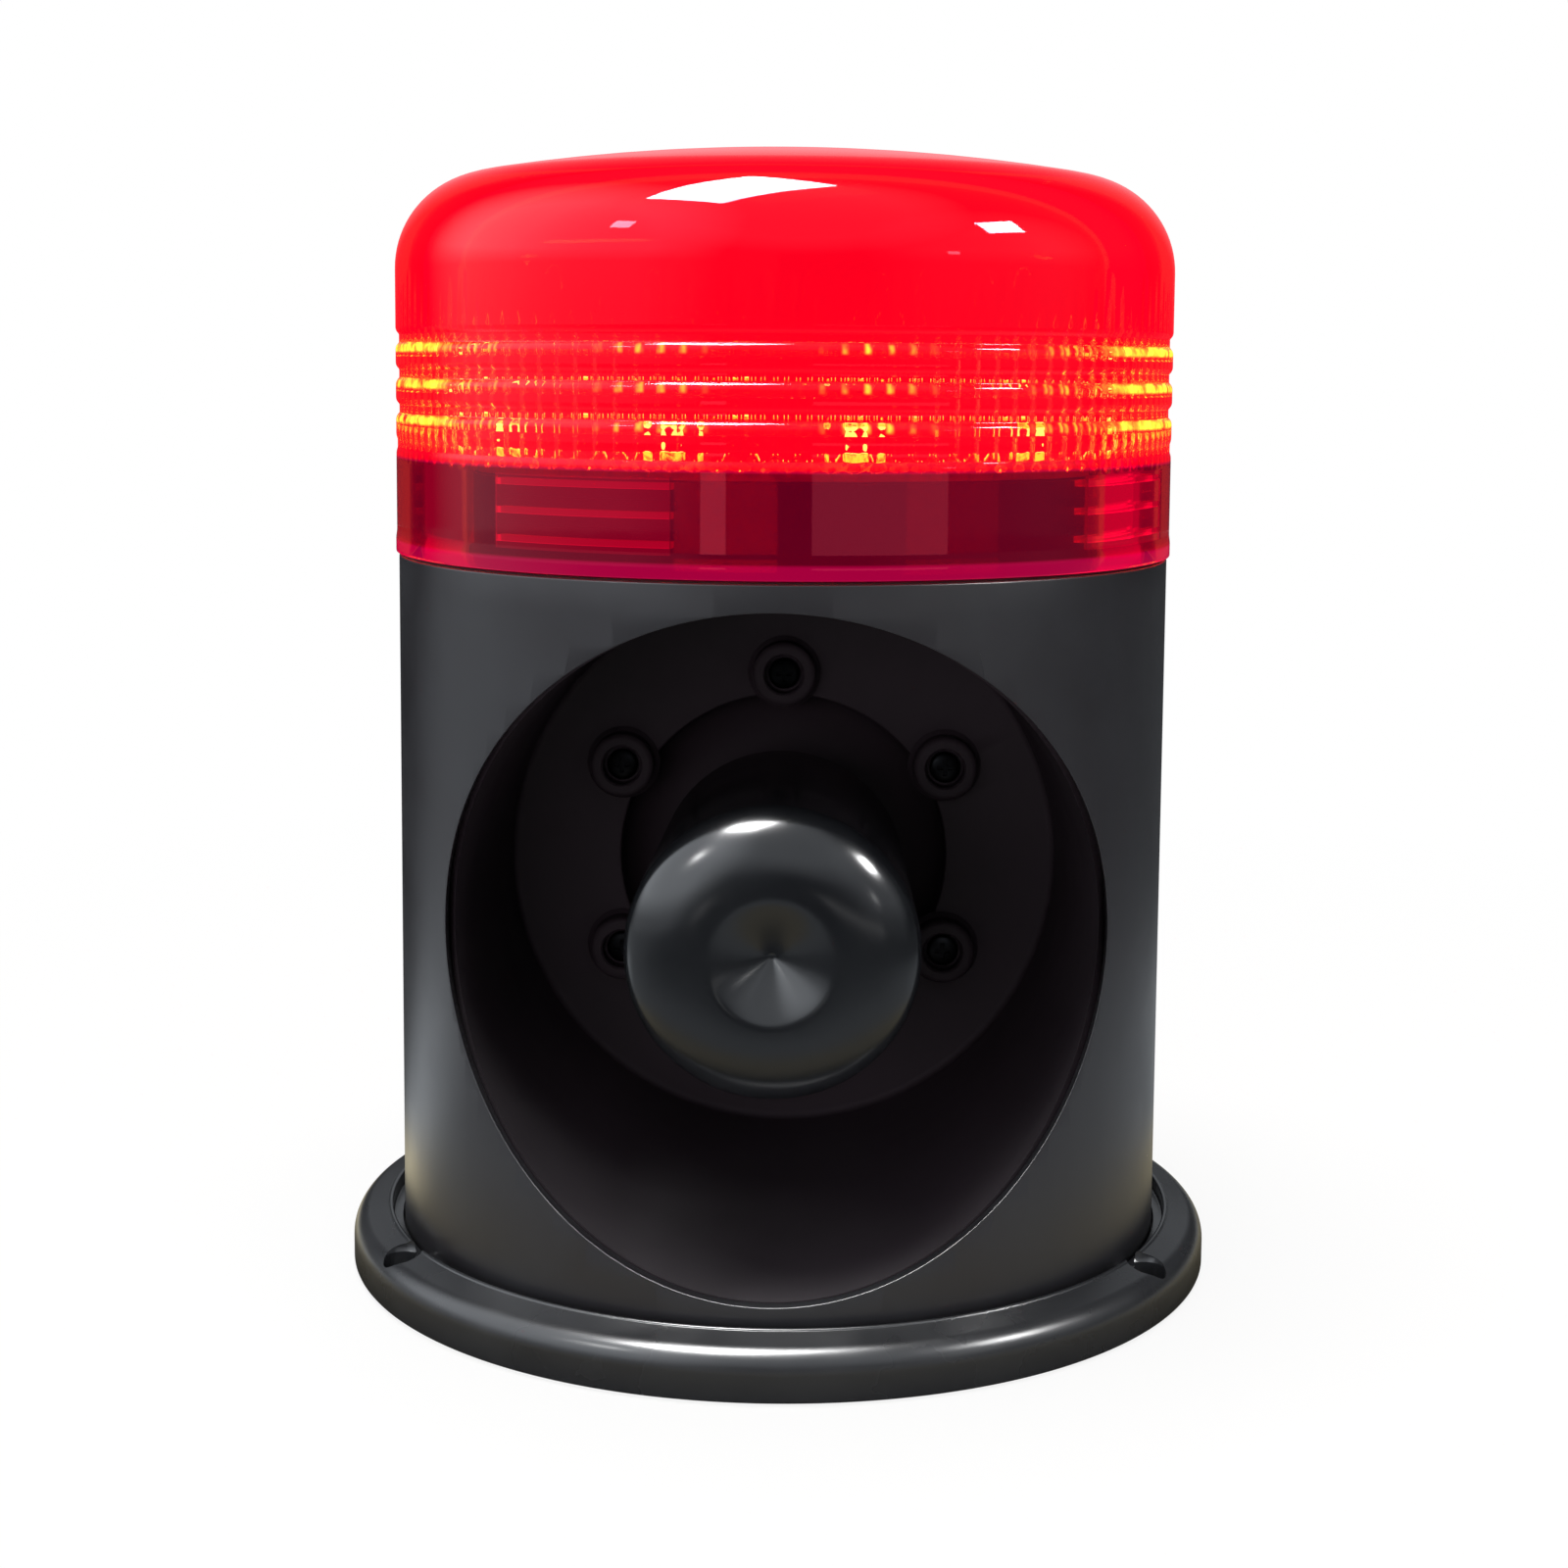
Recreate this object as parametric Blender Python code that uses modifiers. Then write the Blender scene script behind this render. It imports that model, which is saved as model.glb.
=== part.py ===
"""Alarm siren with a beacon: a black cylindrical housing on a screw-down base flange, a re-entrant
horn in its front, and a ribbed lens on top that turns on interrupted thread lugs.

Metres, +Z up. The origin is the middle of the base's underside and the horn faces -Y.
"""

import math

import bmesh
import bpy
from mathutils import Matrix, Vector

# Fits and facets
SEAT_GAP = 0.0003
MAIN_STEPS = 40
HORN_STEPS = 32
SMALL_STEPS = 24
SCREW_STEPS = 8
OVERCUT = 0.010
FUSE = 0.0006

# Housing and base flange
HOUSING_RADIUS = 0.0794
HOUSING_WALL = 0.0025
HOUSING_EDGE = 0.0004
DECK_THICKNESS = 0.0025
FLANGE_WIDTH = 0.0106
FLANGE_HEIGHT = 0.0125
FLANGE_SHOULDER = 0.0042
FLANGE_FOOT_EDGE = 0.0008
BASE_FLOOR = 0.0030
BASE_RECESS = 0.0025
SHADOW_GROOVE_WIDTH = 0.0024
SHADOW_GROOVE_DEPTH = 0.0040
CREST_EDGE = 0.0005

# Holes that fix the base flange to a surface
FIXING_COUNT = 3
FIXING_FIRST_ANGLE = 60.0
FIXING_HOLE_RADIUS = 0.00225
FIXING_POCKET_RADIUS = 0.0038
FIXING_POCKET_DEPTH = 0.0060
FIXING_EDGE_DISTANCE = 0.0047
FIXING_NOTCH_WIDTH = 0.0036
FIXING_NOTCH_DEPTH = 0.0030

# Horn, measured along its own axis from the housing's axis towards the mouth
HORN_RADIUS = 0.06425
HORN_TAPER = 0.00425
BELL_WALL = 0.0023
BELL_FLOOR_GAP = 0.00625
BELL_TOP_GAP = 0.00035
BELL_BACK_THICKNESS = 0.0030
BOSS_COUNT = 6
BOSS_OFFSET = 0.0050
BOSS_RADIUS = 0.0070
BOSS_HEIGHT = 0.0060
BOSS_POCKET_RADIUS = 0.0042
BOSS_POCKET_DEPTH = 0.0040
BELL_POST_RADIUS = 0.0045
BELL_POST_SIDE = 0.0420
BELL_POST_SPREAD = 0.0340

# Throat: bowl behind the bell and the tone tube along the axis
THROAT_MOUTH_RADIUS = 0.0360
THROAT_FLANGE_THICKNESS = 0.0040
THROAT_WALL = 0.0020
THROAT_BOWL_DEPTH = 0.0132
THROAT_BORE_RADIUS = 0.0085
TONE_TUBE_BORE = 0.0110
TONE_TUBE_WALL = 0.0020
TONE_TUBE_NOSE_GAP = 0.0140

# Bulb: the cup over the tone tube
BULB_RADIUS = 0.0274
BULB_SET_BACK = 0.0012
BULB_NOSE_LENGTH = 0.0125
BULB_FACE_RADIUS = 0.0120
BULB_DIMPLE_DEPTH = 0.0024
BULB_WALL = 0.0025
BULB_SKIRT_TAPER = 0.0012
BULB_SKIRT_LENGTH = 0.0740
BULB_RIB_COUNT = 3
BULB_RIB_THICKNESS = 0.0024
BULB_RIB_LENGTH = 0.0360
BULB_RIB_INSET = 0.0120

# Driver behind the throat
MAGNET_RADIUS = 0.0360
MAGNET_BORE_STEP = 0.0041
MAGNET_THICKNESS = 0.0085
PLATE_STEP = 0.0010
PLATE_THICKNESS = 0.0040
YOKE_THICKNESS = 0.0035
DRIVER_REAR_GAP = 0.0012
COIL_RADIUS = 0.0167
COIL_WALL = 0.0010
COIL_GAP = 0.0007
COIL_LENGTH = 0.0072
SURROUND_WIDTH = 0.0085
DIAPHRAGM_THICKNESS = 0.0006
DIAPHRAGM_PLAY = 0.0006
DOME_RISE = 0.0030
DOME_CLEARANCE = 0.0014

# Collar, thread lugs and lens
LENS_OVERHANG = 0.0004
LENS_RIM_BEAD = 0.0002
LENS_RIM_HEIGHT = 0.0028
LENS_WALL = 0.0026
LENS_HEIGHT = 0.0817
LENS_SEAM = 0.0006
LENS_SHOULDER_RADIUS = 0.0194
LENS_CAP_RADIUS = 0.3750
RING_COUNT = 3
RING_PITCH = 0.00705
RING_START = 0.0220
RING_GROOVE_DEPTH = 0.0007
COLLAR_HEADROOM = 0.0010
COLLAR_WALL = 0.0025
LUG_GROUPS = 4
LUG_FIRST_ANGLE = -28.0
LUG_SPAN = 28.0
LUG_THICKNESS = 0.0016
LUG_DEPTH = 0.0036
LUG_RADIAL_GAP = 0.0008
RIDGE_COUNT = 3
RIDGE_DEPTH = 0.0026
RIDGE_PITCH = 0.0053
RIDGE_FIRST_HEIGHT = 0.0050
STOP_SPAN = 2.5
STOP_GAP_ANGLE = 0.4
GASKET_WIDTH = 0.0008
GASKET_HEIGHT = 0.0011

# Circuit boards and what stands on them
LED_COUNT = 12
LED_FIRST_ANGLE = -17.0
LED_WIDTH = 0.0064
LED_DEPTH = 0.0034
LED_HEIGHT = 0.0062
LED_EDGE_DISTANCE = 0.0062
BOARD_THICKNESS = 0.0016
LED_BOARD_OPENING = 0.0060
STANDOFF_COUNT = 3
STANDOFF_FIRST_ANGLE = 0.0
STANDOFF_RADIUS = 0.0030
STANDOFF_INSET = 0.0095
MAIN_BOARD_WIDTH = 0.0760
MAIN_BOARD_LENGTH = 0.0560
MAIN_BOARD_POST = 0.0036
MAIN_BOARD_POST_RADIUS = 0.0030
MAIN_BOARD_HOLE_INSET = 0.0050
TERMINAL_SIZE = (0.0150, 0.0085, 0.0095)
TERMINAL_INSET = 0.0020
TERMINAL_WAYS = 3
TERMINAL_WAY_SIZE = 0.0032
CAPACITOR_RADIUS = 0.0050
CAPACITOR_HEIGHT = 0.0110
CAPACITOR_SPACING = 0.0125
CAPACITOR_PLACE = (-0.0240, -0.0170)
CORE_SIZE = (0.0180, 0.0120, 0.0105)
WINDING_SIZE = (0.0110, 0.0170, 0.0080)
TRANSFORMER_PLACE = (0.0220, -0.0150)
HEATSINK_PLACE = (-0.0210, 0.0060)
HEATSINK_LENGTH = 0.0260
HEATSINK_DEPTH = 0.0090
HEATSINK_HEIGHT = 0.0110
HEATSINK_FINS = 6
HEATSINK_FIN = 0.0014
POT_PLACE = (0.0190, 0.0070)
POT_SIZE = 0.0100
POT_HEIGHT = 0.0046
KNOB_RADIUS = 0.0030
KNOB_HEIGHT = 0.0058
KNOB_SEAT_DEPTH = 0.0030
KNOB_SLOT = 0.0010

# Cable entry and speaker leads
GROMMET_HEIGHT = 0.0270
GROMMET_NECK = 0.0062
GROMMET_FLANGE = 0.0088
GROMMET_BORE = 0.0034
GROMMET_LIP = 0.0020
LEAD_RADIUS = 0.0009
LEAD_SPACING = 0.0080
LEAD_HOLE_RADIUS = 0.0060
LEAD_COLLAR_GAP = 0.0040
LEAD_REACH = 0.0080
LEAD_LANDING = 0.0040
LEAD_POINTS = 14

# Screws
SCREW_HEAD_RADIUS = 0.0034
SCREW_HEAD_HEIGHT = 0.0020
SCREW_SHANK_RADIUS = 0.0014
SCREW_LENGTH = 0.0110
SHORT_SCREW_LENGTH = 0.0050
PILOT_GAP = 0.0003
BASE_POST_COUNT = 4
BASE_POST_FIRST_ANGLE = 45.0
BASE_POST_RADIUS = 0.0046
BASE_POST_HEIGHT = 0.0160

# Radii that follow from the sizes above
HOUSING_INNER = HOUSING_RADIUS - HOUSING_WALL
FLANGE_RADIUS = HOUSING_RADIUS + FLANGE_WIDTH
FIXING_CIRCLE = FLANGE_RADIUS - FIXING_EDGE_DISTANCE
BELL_RADIUS = HORN_RADIUS + BELL_WALL
HORN_BACK_RADIUS = HORN_RADIUS - HORN_TAPER
BELL_BACK_OUTER = HORN_BACK_RADIUS + BELL_WALL
BOSS_CIRCLE = THROAT_MOUTH_RADIUS + BOSS_OFFSET
THROAT_FLANGE_RADIUS = BOSS_CIRCLE + BOSS_RADIUS
THROAT_BODY_RADIUS = THROAT_MOUTH_RADIUS + THROAT_WALL
TONE_TUBE_RADIUS = TONE_TUBE_BORE + TONE_TUBE_WALL
BULB_SKIRT_RADIUS = BULB_RADIUS - BULB_SKIRT_TAPER
PLATE_RADIUS = MAGNET_RADIUS - PLATE_STEP
COIL_OUTER = COIL_RADIUS + COIL_WALL
PLATE_BORE = COIL_OUTER + COIL_GAP
POLE_RADIUS = COIL_RADIUS - COIL_GAP
MAGNET_BORE = PLATE_BORE + MAGNET_BORE_STEP
DIAPHRAGM_RADIUS = COIL_OUTER + SURROUND_WIDTH
LENS_RADIUS = HOUSING_RADIUS + LENS_OVERHANG
LENS_INNER = LENS_RADIUS - LENS_WALL
RIDGE_INNER = LENS_INNER - RIDGE_DEPTH
LUG_RADIUS = LENS_INNER - LUG_RADIAL_GAP
COLLAR_RADIUS = LUG_RADIUS - LUG_DEPTH
COLLAR_INNER = COLLAR_RADIUS - COLLAR_WALL
STANDOFF_CIRCLE = COLLAR_INNER - STANDOFF_INSET
LED_CIRCLE = COLLAR_RADIUS - LED_EDGE_DISTANCE
BASE_POST_CIRCLE = HOUSING_INNER - BASE_POST_RADIUS + FUSE
PILOT_RADIUS = SCREW_SHANK_RADIUS + PILOT_GAP
SCREW_HOLE_RADIUS = SCREW_SHANK_RADIUS + 2 * PILOT_GAP

# Heights that follow from the sizes above
FLOOR_TOP = BASE_RECESS + BASE_FLOOR
HOUSING_FOOT = FLOOR_TOP + SEAT_GAP
HORN_HEIGHT = FLOOR_TOP + BELL_FLOOR_GAP + BELL_RADIUS
DECK_UNDERSIDE = HORN_HEIGHT + BELL_RADIUS + BELL_TOP_GAP
DECK_TOP = DECK_UNDERSIDE + DECK_THICKNESS
LENS_BOTTOM = DECK_TOP + LENS_SEAM
LENS_TOP = LENS_BOTTOM + LENS_HEIGHT
MAIN_BOARD_BOTTOM = DECK_TOP + MAIN_BOARD_POST + SEAT_GAP
MAIN_BOARD_TOP = MAIN_BOARD_BOTTOM + BOARD_THICKNESS
PARTS_SEAT = MAIN_BOARD_TOP + SEAT_GAP
TALLEST_PART = max(CAPACITOR_HEIGHT, HEATSINK_HEIGHT, TERMINAL_SIZE[2], CORE_SIZE[2])
COLLAR_TOP = PARTS_SEAT + TALLEST_PART + COLLAR_HEADROOM
LED_BOARD_BOTTOM = COLLAR_TOP + SEAT_GAP
LED_BOARD_TOP = LED_BOARD_BOTTOM + BOARD_THICKNESS

# Places along the horn's axis, from the driver at the back to the mouth
YOKE_BACK = DRIVER_REAR_GAP - math.sqrt(HOUSING_INNER**2 - MAGNET_RADIUS**2)
MAGNET_BACK = YOKE_BACK + YOKE_THICKNESS + SEAT_GAP
PLATE_BACK = MAGNET_BACK + MAGNET_THICKNESS + SEAT_GAP
PLATE_FRONT = PLATE_BACK + PLATE_THICKNESS
THROAT_BACK = PLATE_FRONT + SEAT_GAP
DIAPHRAGM_BACK = PLATE_FRONT + DIAPHRAGM_PLAY
DIAPHRAGM_FRONT = DIAPHRAGM_BACK + DIAPHRAGM_THICKNESS
DIAPHRAGM_RECESS = DIAPHRAGM_FRONT + DIAPHRAGM_PLAY
DOME_ROOM_FRONT = DIAPHRAGM_FRONT + DOME_RISE + DOME_CLEARANCE
THROAT_FRONT = DOME_ROOM_FRONT + THROAT_WALL + THROAT_BOWL_DEPTH
BELL_BACK = THROAT_FRONT + SEAT_GAP
BELL_FACE = BELL_BACK + BELL_BACK_THICKNESS
BULB_FRONT = HOUSING_RADIUS - BULB_SET_BACK
BULB_BACK = BULB_FRONT - BULB_NOSE_LENGTH - BULB_SKIRT_LENGTH
TONE_TUBE_FRONT = BULB_FRONT - BULB_NOSE_LENGTH - TONE_TUBE_NOSE_GAP


def clear_scene():
    """Removes every object of the open scene."""
    for item in list(bpy.data.objects):
        bpy.data.objects.remove(item, do_unlink=True)


def collection(name):
    """A new collection in the scene."""
    made = bpy.data.collections.new(name)
    bpy.context.scene.collection.children.link(made)
    return made


def material(name, colour, roughness, metallic=0.0, transmission=0.0):
    """A Principled material with the part's colour."""
    made = bpy.data.materials.new(name)
    made.use_nodes = True
    shader = made.node_tree.nodes["Principled BSDF"]
    shader.inputs["Base Color"].default_value = (*colour, 1.0)
    shader.inputs["Roughness"].default_value = roughness
    shader.inputs["Metallic"].default_value = metallic
    shader.inputs["Transmission Weight"].default_value = transmission
    return made


clear_scene()
PARTS = collection("alarm_siren")
CUTTERS = collection("siren_cutters")
BLACK_ABS = material("black_abs", (0.020, 0.021, 0.024), 0.32)
HORN_ABS = material("horn_abs", (0.010, 0.010, 0.011), 0.38)
RED_LENS = material("red_polycarbonate", (0.80, 0.010, 0.030), 0.08, transmission=0.7)
BLACK_RUBBER = material("black_rubber", (0.015, 0.015, 0.015), 0.75)
STEEL = material("zinc_steel", (0.55, 0.55, 0.56), 0.35, metallic=1.0)
BLACK_STEEL = material("black_steel", (0.03, 0.03, 0.03), 0.40, metallic=1.0)
BRASS = material("brass", (0.70, 0.52, 0.22), 0.30, metallic=1.0)
FERRITE = material("ferrite", (0.06, 0.06, 0.065), 0.60)
BOARD_GREEN = material("board_laminate", (0.020, 0.140, 0.060), 0.45)
BOARD_WHITE = material("white_board", (0.75, 0.75, 0.72), 0.45)
LED_RESIN = material("led_resin", (0.95, 0.80, 0.35), 0.25)
CAN_SLEEVE = material("can_sleeve", (0.02, 0.03, 0.08), 0.35)
ALUMINIUM = material("aluminium", (0.75, 0.76, 0.78), 0.35, metallic=1.0)
COPPER = material("copper", (0.75, 0.32, 0.15), 0.35, metallic=1.0)
PHENOLIC = material("phenolic_film", (0.30, 0.12, 0.05), 0.45)
TERMINAL_GREEN = material("terminal_green", (0.05, 0.30, 0.10), 0.45)
POT_BLUE = material("pot_blue", (0.04, 0.12, 0.45), 0.40)
NYLON_WHITE = material("nylon_white", (0.80, 0.80, 0.78), 0.45)
LEAD_RED = material("lead_red", (0.55, 0.02, 0.02), 0.45)
LEAD_BLACK = material("lead_black", (0.02, 0.02, 0.02), 0.45)

HORN_AXIS = bpy.data.objects.new("horn_axis", None)
HORN_AXIS.location = (0.0, 0.0, HORN_HEIGHT)
HORN_AXIS.rotation_euler = (math.pi / 2, 0.0, 0.0)
PARTS.objects.link(HORN_AXIS)


def add_object(name, data, finish=None, parent=None, location=(0.0, 0.0, 0.0), turn=0.0):
    """Adds an object. One with no finish is a cutter, which isn't part of the model."""
    made = bpy.data.objects.new(name, data)
    made.location = location
    made.rotation_euler = (0.0, 0.0, turn)
    made.parent = parent
    if finish is None:
        CUTTERS.objects.link(made)
        made.hide_render = True
        made.display_type = "WIRE"
    else:
        PARTS.objects.link(made)
        data.materials.append(finish)
    return made


def finish_mesh(name, shape, smooth=True):
    """A mesh from a bmesh, with its faces turned outwards."""
    bmesh.ops.recalc_face_normals(shape, faces=shape.faces)
    mesh = bpy.data.meshes.new(name)
    shape.to_mesh(mesh)
    shape.free()
    if smooth:
        mesh.shade_smooth()
        mesh.set_sharp_from_angle(angle=math.radians(35))
    return mesh


def turned(name, outline, finish=None, steps=MAIN_STEPS, closed=False, **place):
    """Turns (radius, height) points about the object's own Z axis. The outline runs down its outer side.

    An open outline starts and ends on the axis, and a closed one makes a ring.
    """
    shape = bmesh.new()
    corners = [shape.verts.new((radius, 0.0, height)) for radius, height in outline]
    ends = corners[1:] + corners[:1] if closed else corners[1:]
    for start, end in zip(corners, ends):
        shape.edges.new((start, end))
    mesh = bpy.data.meshes.new(name)
    shape.to_mesh(mesh)
    shape.free()
    made = add_object(name, mesh, finish, **place)
    screw = made.modifiers.new("turn", "SCREW")
    screw.steps = screw.render_steps = steps
    screw.use_merge_vertices = True
    screw.merge_threshold = 0.00001
    screw.use_smooth_shade = True
    return made


def cylinders(name, radius, low, high, places, finish=None, steps=SMALL_STEPS, **place):
    """One mesh with an upright cylinder from low to high at each (x, y)."""
    shape = bmesh.new()
    for x, y in places:
        middle = Matrix.Translation((x, y, (low + high) / 2))
        bmesh.ops.create_cone(
            shape,
            cap_ends=True,
            segments=steps,
            radius1=radius,
            radius2=radius,
            depth=high - low,
            matrix=middle,
        )
    return add_object(name, finish_mesh(name, shape), finish, **place)


def boxes(name, size, centres, finish=None, **place):
    """One mesh with a box of the given size at each centre."""
    shape = bmesh.new()
    for centre in centres:
        scaled = Matrix.Translation(centre) @ Matrix.Diagonal((*size, 1.0))
        bmesh.ops.create_cube(shape, size=1.0, matrix=scaled)
    return add_object(name, finish_mesh(name, shape, smooth=False), finish, **place)


def arc_blocks(name, inner, outer, levels, starts, span, steps=4, **place):
    """One mesh with a curved block between two radii at each (low, high) level and each start angle."""
    shape = bmesh.new()
    for low, high in levels:
        for start in starts:
            outline = [(inner, low), (outer, low), (outer, high), (inner, high)]
            corners = [shape.verts.new((radius, 0.0, height)) for radius, height in outline]
            face = shape.faces.new(corners)
            bmesh.ops.rotate(shape, verts=corners, cent=(0, 0, 0), matrix=Matrix.Rotation(start, 3, "Z"))
            section = [face, *face.edges, *corners]
            turn = math.radians(span)
            bmesh.ops.spin(shape, geom=section, axis=(0, 0, 1), cent=(0, 0, 0), angle=turn, steps=steps)
    return add_object(name, finish_mesh(name, shape, smooth=False), **place)


def boolean(target, other, operation):
    """Cuts, joins or keeps the target with another object."""
    modifier = target.modifiers.new(other.name, "BOOLEAN")
    modifier.operation = operation
    modifier.object = other


def cut(target, *others):
    """Cuts each of the others out of the target."""
    for other in others:
        boolean(target, other, "DIFFERENCE")


def join(target, *others):
    """Joins each of the others to the target."""
    for other in others:
        boolean(target, other, "UNION")


def arc(centre, radius, start, end, count):
    """Points on an arc in the outline's plane, with angles in degrees from the radius direction."""
    sweep = [math.radians(start + (end - start) * step / count) for step in range(count + 1)]
    return [(centre[0] + radius * math.cos(turn), centre[1] + radius * math.sin(turn)) for turn in sweep]


def around(count, first, radius):
    """(x, y) of places evenly spaced on a circle, with angles in degrees from the front, towards +X."""
    turns = [math.radians(first + 360.0 * step / count) for step in range(count)]
    return [(radius * math.sin(turn), -radius * math.cos(turn)) for turn in turns]


def lug_starts(offset):
    """Start angles about +Z of the lug groups, offset by an angle in degrees."""
    first = LUG_FIRST_ANGLE - 90.0 - LUG_SPAN / 2 + offset
    return [math.radians(first + 360.0 * step / LUG_GROUPS) for step in range(LUG_GROUPS)]


def ridge_levels():
    """(low, high) of the thread ridges inside the lens."""
    lows = [LENS_BOTTOM + RIDGE_FIRST_HEIGHT + RIDGE_PITCH * step for step in range(RIDGE_COUNT)]
    return [(low, low + LUG_THICKNESS) for low in lows]


def lug_levels():
    """(low, high) of the collar's lugs, each just above a ridge that has another ridge above it."""
    return [(high + SEAT_GAP, high + SEAT_GAP + LUG_THICKNESS) for low, high in ridge_levels()[:-1]]


def screw(name, length, finish=STEEL, parent=None, location=(0.0, 0.0, 0.0), flipped=False):
    """A pan-head screw with the seat of its head at the object's origin and its shank pointing down."""
    outline = [
        (0.0, SCREW_HEAD_HEIGHT),
        (SCREW_HEAD_RADIUS, SCREW_HEAD_HEIGHT * 0.5),
        (SCREW_HEAD_RADIUS, 0.0),
        (SCREW_SHANK_RADIUS, 0.0),
        (SCREW_SHANK_RADIUS, SCREW_SHANK_RADIUS - length),
        (0.0, -length),
    ]
    made = turned(name, outline, finish, SCREW_STEPS, parent=parent, location=location)
    if flipped:
        made.rotation_euler = (math.pi, 0.0, 0.0)
    return made


def base_flange():
    """The base: a floor with a rounded flange, pocketed fixing holes and the housing's seat."""
    groove_floor = FLANGE_HEIGHT - SHADOW_GROOVE_DEPTH
    groove_outer = HOUSING_RADIUS + SHADOW_GROOVE_WIDTH
    shoulder_centre = (FLANGE_RADIUS - FLANGE_SHOULDER, FLANGE_HEIGHT - FLANGE_SHOULDER)
    recess_radius = HOUSING_INNER + SEAT_GAP
    outline = [
        (0.0, FLOOR_TOP),
        (HOUSING_RADIUS + SEAT_GAP, FLOOR_TOP),
        (HOUSING_RADIUS + SEAT_GAP, groove_floor),
        (groove_outer, groove_floor),
        (groove_outer, FLANGE_HEIGHT - CREST_EDGE),
        (groove_outer + CREST_EDGE, FLANGE_HEIGHT),
        *arc(shoulder_centre, FLANGE_SHOULDER, 90, 0, 4),
        (FLANGE_RADIUS, FLANGE_FOOT_EDGE),
        (FLANGE_RADIUS - FLANGE_FOOT_EDGE, 0.0),
        (recess_radius, 0.0),
        (recess_radius, BASE_RECESS),
        (0.0, BASE_RECESS),
    ]
    base = turned("base_flange", outline, BLACK_ABS)
    fixings = around(FIXING_COUNT, FIXING_FIRST_ANGLE, FIXING_CIRCLE)
    pocket_floor = FLANGE_HEIGHT - FIXING_POCKET_DEPTH
    notch_floor = FLANGE_HEIGHT - FIXING_NOTCH_DEPTH
    notch_length = FIXING_CIRCLE - HOUSING_RADIUS - SEAT_GAP
    above = FLANGE_HEIGHT + OVERCUT
    cut(
        base,
        cylinders("fixing_pockets", FIXING_POCKET_RADIUS, pocket_floor, above, fixings, steps=16),
        cylinders("fixing_holes", FIXING_HOLE_RADIUS, -OVERCUT, above, fixings, steps=12),
    )
    for index, (x, y) in enumerate(fixings):
        middle = (0.0, -FIXING_CIRCLE + notch_length / 2, (notch_floor + above) / 2)
        size = (FIXING_NOTCH_WIDTH, notch_length, above - notch_floor)
        cut(base, boxes(f"fixing_notch_{index + 1}", size, [middle], turn=math.atan2(x, -y)))
    posts = around(BASE_POST_COUNT, BASE_POST_FIRST_ANGLE, BASE_POST_CIRCLE)
    cut(base, cylinders("base_screw_holes", SCREW_HOLE_RADIUS, 0.0, FLOOR_TOP + OVERCUT, posts, steps=8))
    return base


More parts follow.
